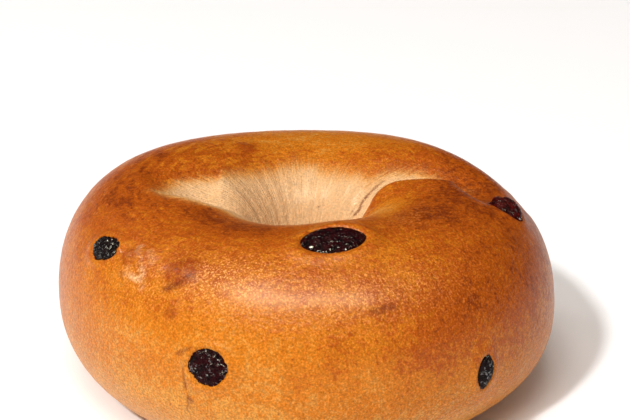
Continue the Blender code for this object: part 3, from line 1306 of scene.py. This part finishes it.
def new_object(name: str, data: bpy.types.ID) -> bpy.types.Object:
    """Puts a new object into the scene.

    Args:
        name: Its name.
        data: Its mesh, light or camera.

    Returns:
        The object.
    """
    item = bpy.data.objects.new(name, data)
    bpy.context.scene.collection.objects.link(item)
    return item


def start_tree(name: str, inputs: dict[str, tuple[str, object]]) -> bpy.types.NodeTree:
    """Starts a geometry tree that takes a shape and a material and gives a shape.

    Args:
        name: The tree's name.
        inputs: For each other input its kind (Float, Vector or Int) and its value, by name.

    Returns:
        The tree.
    """
    tree = bpy.data.node_groups.new(name, "GeometryNodeTree")
    kinds = {"Geometry": ("Geometry", None)} | inputs | {"Material": ("Material", None)}
    for label, (kind, value) in kinds.items():
        socket = tree.interface.new_socket(name=label, in_out="INPUT", socket_type=f"NodeSocket{kind}")
        if value is not None:
            socket.default_value = value
    tree.interface.new_socket(name="Geometry", in_out="OUTPUT", socket_type="NodeSocketGeometry")
    return tree


def end_tree(nodes: NodeWriter, shape: Socket, material: Socket) -> None:
    """Smooths a shape, makes it plain geometry, gives it its material and ends the tree with it.

    Args:
        nodes: The tree's writer.
        shape: The shape.
        material: The tree's input for the material.
    """
    smooth = nodes.add("GeometryNodeSetShadeSmooth", {"Geometry": shape}).outputs[0]
    plain = nodes.add("GeometryNodeRealizeInstances", {"Geometry": smooth}).outputs[0]
    dressed = nodes.add("GeometryNodeSetMaterial", {"Geometry": plain, "Material": material}).outputs[0]
    nodes.add("NodeGroupOutput", {"Geometry": dressed})


def apply_tree(
    mesh: bpy.types.Mesh, name: str, tree: bpy.types.NodeTree, values: dict[str, object]
) -> bpy.types.Object:
    """Runs a geometry tree on a mesh and keeps the result as a plain mesh.

    Args:
        mesh: What the tree starts from.
        name: The name of the finished piece.
        tree: The tree.
        values: Its inputs by name.

    Returns:
        The finished object, in the scene, with no modifier.
    """
    worker = new_object(name + "_source", mesh)
    modifier = worker.modifiers.new(tree.name, "NODES")
    modifier.node_group = tree
    sockets = {item.name: item.identifier for item in tree.interface.items_tree if item.in_out == "INPUT"}
    for label, value in values.items():
        modifier[sockets[label]] = value
    bpy.context.view_layer.update()
    depsgraph = bpy.context.evaluated_depsgraph_get()
    shape = worker.evaluated_get(depsgraph)
    result = bpy.data.meshes.new_from_object(shape, preserve_all_data_layers=True, depsgraph=depsgraph)
    bpy.data.objects.remove(worker)
    result.name = name
    return new_object(name, result)


@dataclass(frozen=True)
class Area:
    """A round area of the crust: its middle and spread in degrees, and how strong it is."""

    turn: float
    lift: float
    spread: float
    strength: float


@dataclass
class Bread:
    """The ring of bread: its fine crust mesh, its painted masks and its material."""

    form: BagelForm
    finish: CrustFinish = CrustFinish()
    ring_steps: int = 400
    section_steps: int = 150
    crowding: float = 0.22
    crowding_lift: float = 130.0
    seam_turn: float = 330.0
    seam_slack: float = 1e-5
    weld: float = 2e-6
    fine_zones: tuple[Pair, ...] = ((-0.0022, 0.0026), (-0.0009, 0.0011))
    peel_size: float = 0.0030
    peel_depth: float = 0.00007
    ripple_size: float = 0.0014
    ripple_depth: float = 0.00003
    stretch_turns: float = 40.0
    stretch_rise: float = 60.0
    stretch_depth: float = 0.00004
    seed: int = 7
    wall_edge: tuple[Pair, ...] = (
        (5.0, 152.0), (20.0, 140.0), (28.0, 126.0), (40.0, 123.0), (55.0, 125.0), (74.0, 125.0),
        (86.0, 122.0), (98.0, 123.0), (115.0, 127.0), (136.0, 127.0), (158.0, 122.0), (168.0, 109.0),
        (175.0, 99.0), (189.0, 89.0), (200.0, 102.0), (212.0, 118.0), (260.0, 126.0), (300.0, 130.0),
        (318.0, 150.0), (345.0, 154.0),
    )
    wall_blend: Pair = (-18.0, 14.0)
    wall_browning: float = 0.35
    wall_browning_lifts: Pair = (200.0, 240.0)
    bake_rise: tuple[Pair, ...] = (
        (-90.0, 0.30), (-60.0, 0.10), (-20.0, 0.22), (10.0, 0.38), (40.0, 0.46), (70.0, 0.58),
        (110.0, 0.60), (170.0, 0.45),
    )
    # The pale lane along each fold: its width on the near and the far side, then shares of its path.
    lane_widths: tuple[Pair, ...] = ((0.0013, 0.0050), (0.0012, 0.0036))
    lane_tan: float = 0.8
    lane_tans: Pair = (0.46, 0.64)
    lane_ends: Pair = (0.70, 0.95)
    lane_least_up: float = 0.3
    # A side is its middle turn and its spread, in degrees.
    low_lifts: Pair = (5.0, 42.0)
    low_rise_left: float = 38.0
    left_side: Pair = (226.0, 42.0)
    low_paleness: float = 0.38
    low_browning_right: float = 0.16
    right_side: Pair = (330.0, 40.0)
    stain_edge: Pair = (0.7, 1.45)
    streaky_lifts: Pair = (35.0, 75.0)
    streaky_least: float = 0.35
    streaky_side: Pair = (150.0, 60.0)
    underside_top: float = 0.0004
    underside_bake: float = 0.2
    free_height: float = 0.004
    free_distance: float = 0.001
    # Areas of painted sparkling highlights, where the sheen falls on the crown.
    painted_sparkle_height: float = 13.0
    painted_sparkles: tuple[Area, ...] = (
        Area(250.0, 55.0, 17.0, 1.0),
        Area(280.0, 48.0, 24.0, 0.5),
        Area(228.0, 45.0, 12.0, 0.5),
        Area(318.0, 96.0, 14.0, 0.35),
    )
    brown_areas: tuple[Area, ...] = (
        Area(25.0, 68.0, 30.0, 0.30),
        Area(350.0, 50.0, 30.0, 0.20),
        Area(50.0, 72.0, 26.0, -0.20),
        Area(100.0, 78.0, 30.0, -0.10),
        Area(333.0, 94.0, 24.0, 0.30),
        Area(314.0, 28.0, 24.0, 0.26),
        Area(338.0, 118.0, 14.0, -0.50),
        Area(321.0, 110.0, 11.0, -0.30),
        Area(189.0, 64.0, 22.0, 0.20),
        Area(165.0, 82.0, 26.0, 0.10),
        Area(218.0, 100.0, 15.0, 0.26),
        Area(245.0, 98.0, 15.0, 0.30),
        Area(122.0, 102.0, 7.0, 0.24),
        Area(92.0, 92.0, 34.0, -0.26),
        Area(300.0, 70.0, 14.0, -0.10),
        Area(203.0, 24.0, 30.0, 0.04),
        Area(300.0, 20.0, 34.0, 0.06),
        Area(240.0, 0.0, 40.0, -0.16),
    )

    def sheet(self) -> bpy.types.Mesh:
        """Lays out the crust's mesh flat, X by turn and Y by lift, finer near the raisins.

        Returns:
            The flat mesh.
        """
        turns = math.radians(self.seam_turn) + np.linspace(0.0, math.tau, self.ring_steps + 1)
        steady = np.linspace(0.0, math.tau, self.section_steps + 1) - math.pi / 2
        crowded = math.radians(self.crowding_lift)
        shift = np.sin(steady - crowded) - math.sin(-math.pi / 2 - crowded)
        lifts = steady - self.crowding * shift
        grid = np.stack(np.meshgrid(turns, lifts, indexing="ij"), axis=-1).reshape(-1, 2)
        stride = self.section_steps + 1
        first = (np.arange(self.ring_steps)[:, None] * stride + np.arange(self.section_steps)).ravel()
        faces = np.stack([first, first + stride, first + stride + 1, first + 1], axis=-1)
        flat = bpy.data.meshes.new("crust_sheet")
        flat.from_pydata([(x, y, 0.0) for x, y in grid], [], faces.tolist())
        work = bmesh.new()
        work.from_mesh(flat)
        for zone in self.fine_zones:
            self._refine(work, zone)
        bmesh.ops.triangulate(work, faces=[face for face in work.faces if len(face.verts) > 4])
        work.to_mesh(flat)
        work.free()
        return flat

    def _refine(self, work: bmesh.types.BMesh, zone: Pair) -> None:
        """Splits the faces that lie near a raisin's edge.

        Args:
            work: The flat mesh.
            zone: From how far inside the skin to how far outside it, in metres.
        """
        work.faces.ensure_lookup_table()
        middles = np.array([face.calc_center_median()[:2] for face in work.faces])
        _, nearest = self.form.crust(middles[:, 0], middles[:, 1])
        chosen = np.flatnonzero((nearest > zone[0]) & (nearest < zone[1]))
        edges = {edge for index in chosen for edge in work.faces[index].edges}
        bmesh.ops.subdivide_edges(work, edges=list(edges), cuts=1, use_grid_fill=True)

    def wrap(self, flat: bpy.types.Mesh) -> bpy.types.Mesh:
        """Moves the flat mesh onto the crust, paints its masks and closes it.

        Args:
            flat: The flat mesh, which is changed.

        Returns:
            The same mesh, closed.
        """
        co = np.empty(len(flat.vertices) * 3, np.float32)
        flat.vertices.foreach_get("co", co)
        turn, lift = co.reshape(-1, 3)[:, :2].astype(float).T
        seam = math.radians(self.seam_turn)
        turn = np.where(np.isclose(turn, seam + math.tau, atol=self.seam_slack), seam, turn)
        lift = np.where(np.isclose(lift, 1.5 * math.pi, atol=self.seam_slack), -0.5 * math.pi, lift)
        points, nearest = self.form.crust(turn, lift)
        flat.vertices.foreach_set("co", points.astype(np.float32).ravel())
        for name, mask in self._masks(turn, lift, points, nearest).items():
            flat.attributes.new(name, "FLOAT", "POINT").data.foreach_set("value", mask.astype(np.float32))
        work = bmesh.new()
        work.from_mesh(flat)
        bmesh.ops.remove_doubles(work, verts=work.verts, dist=self.weld)
        work.to_mesh(flat)
        work.free()
        return flat

    def _masks(self, turn: Array, lift: Array, points: Array, nearest: Array) -> dict[str, Array]:
        """Works out where the crust is pale, browned, stained, free to ripple and given painted highlights.

        Args:
            turn: Angles round the ring.
            lift: Angles round the section.
            points: Rows of X, Y and Z on the crust.
            nearest: Distance from the nearest raisin.

        Returns:
            The masks by name.
        """
        degrees = np.degrees(lift)
        height = points[:, 2]
        underside = height < self.underside_top
        free = smooth_step(height, self.underside_top, self.free_height)
        side = bell(way_from(self.streaky_side[0], turn), self.streaky_side[1])
        streaky = self.streaky_least + (1.0 - self.streaky_least) * side
        return {
            "pale": self._pale(turn, lift, points) * ~underside,
            "bake": self._bake(turn, degrees) + self.underside_bake * underside,
            "stain": self._stain(points),
            # Painted highlights: along the puckers, and sparkling in the sheen on the crown.
            "painted_shine": self._painted_shine(points),
            "painted_sparkle": self._painted_sparkle(turn, degrees),
            "free": free * smooth_step(nearest, 0.0, self.free_distance),
            "wall": self.form.in_hole(lift),
            "streaky": smooth_step(degrees, *self.streaky_lifts) * streaky,
        }

    def _pale(self, turn: Array, lift: Array, points: Array) -> Array:
        """Works out where the pale dough shows: on the hole's wall, in the folds and low outside.

        Args:
            turn: Angles round the ring.
            lift: Angles round the section.
            points: Rows of X, Y and Z on the crust.

        Returns:
            How pale each point is.
        """
        degrees = np.degrees(lift)
        edge = np.interp(np.degrees(turn) % 360.0, *self._edge_round())
        browning = self.wall_browning * smooth_step(degrees, *self.wall_browning_lifts)
        pale = smooth_step(degrees - edge, *self.wall_blend) * (1.0 - browning)
        for fold, widths in zip(self.form.folds, self.lane_widths):
            away, passed = fold.distance(points)
            width = np.where(away > 0, widths[1], widths[0])
            tanned = 1.0 - self.lane_tan * smooth_step(passed, *self.lane_tans)
            lane = bell(away, width) * tanned * (1.0 - smooth_step(passed, *self.lane_ends))
            pale = np.maximum(pale, lane * (np.sin(lift) > self.lane_least_up))
        sides = (self.left_side, self.right_side)
        left, right = (bell(way_from(middle, turn), spread) for middle, spread in sides)
        start = self.low_lifts[0] - self.low_rise_left * left
        low = smooth_step(-degrees, start, self.low_lifts[1]) * (degrees > -90.0)
        return np.maximum(pale, low * (self.low_paleness - self.low_browning_right * right))

    def _bake(self, turn: Array, degrees: Array) -> Array:
        """Works out how far the crust is baked.

        Args:
            turn: Angles round the ring.
            degrees: Angles round the section, in degrees.

        Returns:
            How brown each point is.
        """
        bake = np.interp(degrees, *np.array(self.bake_rise).T)
        for area in self.brown_areas:
            away = np.hypot(way_from(area.turn, turn), degrees - area.lift)
            bake = bake + area.strength * bell(away, area.spread)
        return bake

    def _stain(self, points: Array) -> Array:
        """Works out where the blisters are stained.

        Args:
            points: Rows of X, Y and Z on the crust.

        Returns:
            How stained each point is.
        """
        stain = np.zeros(len(points))
        for blister in self.form.blisters:
            spot, _ = self.form.spot(blister.turn, blister.lift)
            away = np.linalg.norm(points - np.array(spot), axis=1) / blister.radius
            stain = np.maximum(stain, blister.stain * (1.0 - smooth_step(away, *self.stain_edge)))
        return stain

    def _painted_shine(self, points: Array) -> Array:
        """Works out where a painted highlight runs along the puckers.

        Args:
            points: Rows of X, Y and Z on the crust.

        Returns:
            How strong the painted highlight is at each point.
        """
        painted_shine = np.zeros(len(points))
        for pucker in self.form.puckers:
            painted_shine = np.maximum(painted_shine, pucker.painted_shine * bell(self.form.beside_pucker(points, pucker)))
        return painted_shine

    def _painted_sparkle(self, turn: Array, degrees: Array) -> Array:
        """Works out where sparkling highlights are painted into the grain.

        Args:
            turn: Angles round the ring.
            degrees: Angles round the section, in degrees.

        Returns:
            How far each point sparkles.
        """
        painted_sparkle = np.zeros(len(turn))
        for area in self.painted_sparkles:
            across = way_from(area.turn, turn) / area.spread
            away = np.hypot(across, (degrees - area.lift) / self.painted_sparkle_height)
            painted_sparkle = np.maximum(painted_sparkle, area.strength * bell(away))
        return painted_sparkle

    def _edge_round(self) -> tuple[Array, Array]:
        """The turns and lifts of the pale wall's edge, carried past both ends of the ring."""
        turns, lifts = np.array(self.wall_edge).T
        return np.concatenate([turns - 360.0, turns, turns + 360.0]), np.tile(lifts, 3)

    def relief_tree(self) -> bpy.types.NodeTree:
        """Builds the geometry tree that gives the crust its fine relief.

        Returns:
            The tree.
        """
        sizes = {
            "Peel Size": self.peel_size,
            "Peel Depth": self.peel_depth,
            "Ripple Size": self.ripple_size,
            "Ripple Depth": self.ripple_depth,
            "Stretch Turns": self.stretch_turns,
            "Stretch Rise": self.stretch_rise,
            "Stretch Depth": self.stretch_depth,
        }
        inputs = {name: ("Float", value) for name, value in sizes.items()}
        tree = start_tree("crust_relief", inputs | {"Seed": ("Int", self.seed)})
        nodes = NodeWriter(tree)
        given = nodes.add("NodeGroupInput").outputs
        place = nodes.add("GeometryNodeInputPosition").outputs[0]
        relief: object = 0.0
        for kind in ("Peel", "Ripple"):
            scaled = nodes.scaled(place, given[f"{kind} Size"])
            noise = nodes.noise(scaled, detail=1.0, fourth=given["Seed"])
            depth = nodes.math("MULTIPLY", nodes.swing(noise, 1.0), given[f"{kind} Depth"])
            relief = nodes.math("ADD", relief, depth)
        flat, up = nodes.in_plan(place)
        around = nodes.times(nodes.vector("NORMALIZE", flat), given["Stretch Turns"])
        lanes = nodes.noise(around, detail=1.0, fourth=nodes.math("MULTIPLY", up, given["Stretch Rise"]))
        free, wall = (
            nodes.add("GeometryNodeInputNamedAttribute", {"Name": name}, data_type="FLOAT").outputs[0]
            for name in ("free", "wall")
        )
        depth = nodes.math("MULTIPLY", given["Stretch Depth"], wall)
        stretch = nodes.math("MULTIPLY", nodes.swing(lanes, 1.0), depth)
        relief = nodes.math("MULTIPLY", nodes.math("ADD", relief, stretch), free)
        offset = nodes.times(nodes.add("GeometryNodeInputNormal").outputs[0], relief)
        moved = nodes.add("GeometryNodeSetPosition", {"Geometry": given["Geometry"], "Offset": offset})
        end_tree(nodes, moved.outputs[0], given["Material"])
        return tree

    def build(self, effects: Effects) -> bpy.types.Object:
        """Builds and dresses the bread.

        Args:
            effects: The shared shader groups.

        Returns:
            The finished piece.
        """
        mesh = self.wrap(self.sheet())
        values = {"Material": self.finish.build(self.form, effects)}
        piece = apply_tree(mesh, "bread_crust", self.relief_tree(), values)
        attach(piece, BODY)
        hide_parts("bread")
        return piece


@dataclass
class Raisins:
    """The raisins, every one from the same geometry tree with its own sizes."""

    form: BagelForm
    rounds: int = 6
    finishes: dict[Skin, RaisinFinish] = field(
        default_factory=lambda: {
            Skin.PLUM: RaisinFinish(
                "raisin_plum", (0.002, 0.0006, 0.0009), (0.028, 0.0020, 0.0032), bloom=0.005, roughness=0.13
            ),
            Skin.RUSSET: RaisinFinish(
                "raisin_russet", (0.006, 0.0008, 0.0010), (0.085, 0.0048, 0.0040), bloom=0.005, roughness=0.13
            ),
            Skin.COAL: RaisinFinish(
                "raisin_coal", (0.002, 0.0012, 0.0016), (0.010, 0.004, 0.004), bloom=0.02, roughness=0.13
            ),
        }
    )
    crumple_scale: float = 3.2
    crumple_warp: float = 0.5
    crumple_gain: float = 2.0
    pinch_scale: float = 8.5
    pinch_warp: float = 0.8
    pinch_gain: float = 0.6
    pinch_least: float = 0.06
    ridge_noise: Pair = (2.0, 0.6)
    ridge_middle: float = 0.2

    def tree(self) -> bpy.types.NodeTree:
        """Builds the geometry tree of a wrinkled raisin.

        Returns:
            The tree.
        """
        sizes = {"Length": 0.01, "Width": 0.008, "Thickness": 0.005}
        sizes |= {"Wrinkle": 0.2, "Pointed": 0.2, "Crumple": 0.05}
        inputs: dict[str, tuple[str, object]] = {name: ("Float", value) for name, value in sizes.items()}
        for number in range(1, len(RaisinForm.wrinkle_counts) + 1):
            inputs[f"Fold Axis {number}"] = ("Vector", (0.0, 0.0, 1.0))
            inputs[f"Fold Phase {number}"] = ("Float", 0.0)
        inputs |= {"Middle": ("Vector", ORIGIN), "Turned": ("Vector", ORIGIN), "Seed": ("Int", 1)}
        tree = start_tree("wrinkled_raisin", inputs)
        nodes = NodeWriter(tree)
        given = nodes.add("NodeGroupInput").outputs
        ball = nodes.add("GeometryNodeMeshIcoSphere", {"Radius": 1.0, "Subdivisions": self.rounds}).outputs[0]
        way = nodes.vector("NORMALIZE", nodes.add("GeometryNodeInputPosition").outputs[0])
        swell = self._swell(nodes, given, way)
        parts = nodes.add("ShaderNodeSeparateXYZ", {0: way}).outputs
        narrowing = nodes.math("POWER", nodes.math("ABSOLUTE", parts[0]), RaisinForm.taper_power)
        narrowed = nodes.product(narrowing, given["Pointed"], RaisinForm.taper)
        taper = nodes.math("SUBTRACT", 1.0, narrowed)
        sized = []
        for part, size, narrow in zip(parts, ("Length", "Width", "Thickness"), (1.0, taper, taper)):
            half = nodes.product(given[size], 0.5, narrow)
            sized.append(nodes.math("MULTIPLY", nodes.math("MULTIPLY", part, swell), half))
        shaped = nodes.add("ShaderNodeCombineXYZ", dict(enumerate(sized))).outputs[0]
        moved = nodes.add("GeometryNodeSetPosition", {"Geometry": ball, "Position": shaped}).outputs[0]
        bed = {"Geometry": moved, "Translation": given["Middle"], "Rotation": given["Turned"]}
        end_tree(nodes, nodes.add("GeometryNodeTransform", bed).outputs[0], given["Material"])
        return tree

    def _swell(self, nodes: NodeWriter, given: object, way: Socket) -> Socket:
        """Adds the main folds and the finer crumples.

        Args:
            nodes: The tree's writer.
            given: The tree's inputs.
            way: The direction from the raisin's middle.

        Returns:
            The share of the plain radius.
        """
        counts = RaisinForm.wrinkle_counts
        depth: object = 0.0
        for number, count in enumerate(counts, start=1):
            facing = nodes.measure("DOT_PRODUCT", way, given[f"Fold Axis {number}"])
            angle = nodes.math("MULTIPLY_ADD", facing, count, given[f"Fold Phase {number}"])
            wave = nodes.math("ABSOLUTE", nodes.math("SINE", angle))
            depth = nodes.math("ADD", depth, nodes.math("SUBTRACT", 1.0, wave))
        mean = nodes.math("DIVIDE", depth, float(len(counts)))
        share = nodes.math("SUBTRACT", RaisinForm.wrinkle_middle, mean)
        main = nodes.math("MULTIPLY_ADD", share, given["Wrinkle"], 1.0)
        ridges = self._ridges(nodes, given, way, self.crumple_scale, self.crumple_warp)
        crumple = nodes.math("MULTIPLY", ridges, nodes.math("MULTIPLY", given["Crumple"], self.crumple_gain))
        pinches = self._ridges(nodes, given, way, self.pinch_scale, self.pinch_warp)
        strength = nodes.math("MULTIPLY_ADD", given["Crumple"], self.pinch_gain, self.pinch_least)
        return nodes.total(main, crumple, nodes.math("MULTIPLY", pinches, strength))

    def _ridges(self, nodes: NodeWriter, given: object, way: Socket, scale: float, warp: float) -> Socket:
        """Adds sharp creases between rounded ridges.

        Args:
            nodes: The tree's writer.
            given: The tree's inputs.
            way: The direction from the raisin's middle.
            scale: How close together they are.
            warp: How far their lines wander.

        Returns:
            Their height round 0, as a number.
        """
        noise = nodes.noise(way, *self.ridge_noise, warp, scale, given["Seed"])
        folded = nodes.math("ABSOLUTE", nodes.swing(noise, 1.0))
        return nodes.math("SUBTRACT", folded, self.ridge_middle)

    def build(self, effects: Effects) -> list[bpy.types.Object]:
        """Builds and dresses every raisin.

        Args:
            effects: The shared shader groups.

        Returns:
            The finished pieces.
        """
        tree = self.tree()
        materials = {skin: finish.build(effects) for skin, finish in self.finishes.items()}
        pieces = []
        for raisin in self.form.raisins:
            axes, middle = self.form.raisin_frame(raisin)
            sizes = ("length", "width", "thickness", "wrinkle", "pointed", "crumple", "seed")
            values = {name.capitalize(): getattr(raisin, name) for name in sizes}
            values |= {"Middle": tuple(middle), "Turned": tuple(axes.to_euler())}
            values["Material"] = materials[raisin.skin]
            for number, (axis, phase) in enumerate(raisin.fold_axes(), start=1):
                values |= {f"Fold Axis {number}": tuple(axis), f"Fold Phase {number}": phase}
            piece = apply_tree(bpy.data.meshes.new(raisin.name), raisin.name + "_skin", tree, values)
            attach(piece, BODY)
            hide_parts(raisin.name)
            pieces.append(piece)
        return pieces


def looking_from(place: Vector, right: Vector, up: Vector, back: Vector) -> Matrix:
    """The placement of a light or camera that looks away from back."""
    return Matrix.Translation(place) @ Matrix((right, up, back)).transposed().to_4x4()


@dataclass(frozen=True)
class SoftBox:
    """An oblong studio light that faces the bagel."""

    name: str
    bearing: float
    elevation: float
    distance: float
    width: float
    depth: float
    power: float
    tint: Colour = (1.0, 1.0, 1.0)
    mirrored: bool = True
    lighting: bool = True

    def build(self, target: Vector) -> bpy.types.Object:
        """Hangs the light.

        Args:
            target: What it faces.

        Returns:
            The light.
        """
        bearing, elevation = math.radians(self.bearing), math.radians(self.elevation)
        level = math.cos(elevation)
        way = Vector((math.cos(bearing) * level, math.sin(bearing) * level, math.sin(elevation)))
        lamp = bpy.data.lights.new(self.name, "AREA")
        lamp.shape = "RECTANGLE"
        lamp.size = self.width
        lamp.size_y = self.depth
        lamp.energy = self.power
        lamp.color = self.tint
        light = new_object(self.name, lamp)
        light.visible_glossy = self.mirrored
        light.visible_diffuse = self.lighting
        right = Vector((0.0, 1.0, 0.0)).cross(way).normalized()
        light.matrix_world = looking_from(target + way * self.distance, right, way.cross(right), way)
        return light


@dataclass
class Studio:
    """The white floor, the soft light and the camera at the photograph's angle."""

    lights: tuple[SoftBox, ...] = (
        # Name, bearing, elevation, distance, width, depth and power, then the rest by name.
        SoftBox("key", 235.0, 45.0, 2.6, 0.22, 0.22, 55.0, mirrored=False),
        SoftBox("overhead", 258.0, 66.0, 1.7, 0.80, 1.10, 13.5, tint=(1.0, 0.93, 0.87), mirrored=False),
        SoftBox("sheen", 214.0, 67.0, 1.0, 0.34, 0.36, 8.5, tint=(1.0, 0.97, 0.74), lighting=False),
        SoftBox("band", 272.0, 64.0, 1.0, 0.90, 0.26, 17.0, tint=(1.0, 0.97, 0.74), lighting=False),
        SoftBox("back_left", 150.0, 38.0, 1.1, 0.06, 0.10, 0.8),
    )
    sky: float = 0.245
    sky_tint: Colour = (1.0, 0.94, 0.89)
    mirrored_sky: float = 0.012
    elevation: float = 21.5
    distance: float = 0.450
    middle_height: float = 0.022
    shift_right: float = 0.00230
    shift_up: float = 0.01603
    lens: float = 110.5
    sensor_width: float = 36.0
    near_clip: float = 0.01
    floor_half: float = 3.0
    floor_colour: Colour = (0.96, 0.96, 0.97)
    floor_roughness: float = 0.9

    def build(self) -> None:
        """Sets up floor, light and camera."""
        self._floor()
        for light in self.lights:
            light.build(Vector((0.0, 0.0, self.middle_height)))
        world = bpy.data.worlds.new("studio")
        bpy.context.scene.world = world
        world.use_nodes = True
        background = world.node_tree.nodes["Background"]
        background.inputs["Color"].default_value = (*self.sky_tint, 1.0)
        nodes = NodeWriter(world.node_tree)
        glossy = nodes.add("ShaderNodeLightPath").outputs["Is Glossy Ray"]
        strength = nodes.math("MULTIPLY_ADD", glossy, self.mirrored_sky - self.sky, self.sky)
        nodes.feed(background.inputs["Strength"], strength)
        bpy.context.scene.view_settings.view_transform = "Standard"
        self._camera()

    def _floor(self) -> None:
        """Lays the floor."""
        half = self.floor_half
        mesh = bpy.data.meshes.new("floor")
        corners = [(-half, -half, 0.0), (half, -half, 0.0), (half, half, 0.0), (-half, half, 0.0)]
        mesh.from_pydata(corners, [], [(0, 1, 2, 3)])
        colour = (*self.floor_colour, 1.0)
        material, _, _ = new_material("floor_paper", Roughness=self.floor_roughness, Base_Color=colour)
        mesh.materials.append(material)
        floor = new_object("floor", mesh)

    def _camera(self) -> None:
        """Places the camera."""
        angle = math.radians(self.elevation)
        back = Vector((0.0, -math.cos(angle), math.sin(angle)))
        right = Vector((1.0, 0.0, 0.0))
        up = Vector((0.0, math.sin(angle), math.cos(angle)))
        middle = Vector((0.0, 0.0, self.middle_height))
        eye = middle + right * self.shift_right + up * self.shift_up + back * self.distance
        lens = bpy.data.cameras.new("camera")
        lens.sensor_width = self.sensor_width
        lens.lens = self.lens
        lens.clip_start = self.near_clip
        camera = new_object("camera", lens)
        camera.matrix_world = looking_from(eye, right, up, back)
        bpy.context.scene.camera = camera


def main() -> None:
    """Builds the bagel and its studio in order."""
    logging.basicConfig(level=logging.INFO, format="%(name)s: %(message)s")
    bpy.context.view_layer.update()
    form = BagelForm()
    effects = Effects()
    bread = Bread(form).build(effects)
    LOG.info("%s has %d faces", bread.name, len(bread.data.polygons))
    for raisin in Raisins(form).build(effects):
        LOG.info("%s has %d faces", raisin.name, len(raisin.data.polygons))
    Studio().build()
    LOG.info("studio ready")
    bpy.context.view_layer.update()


if __name__ == "__main__":
    main()
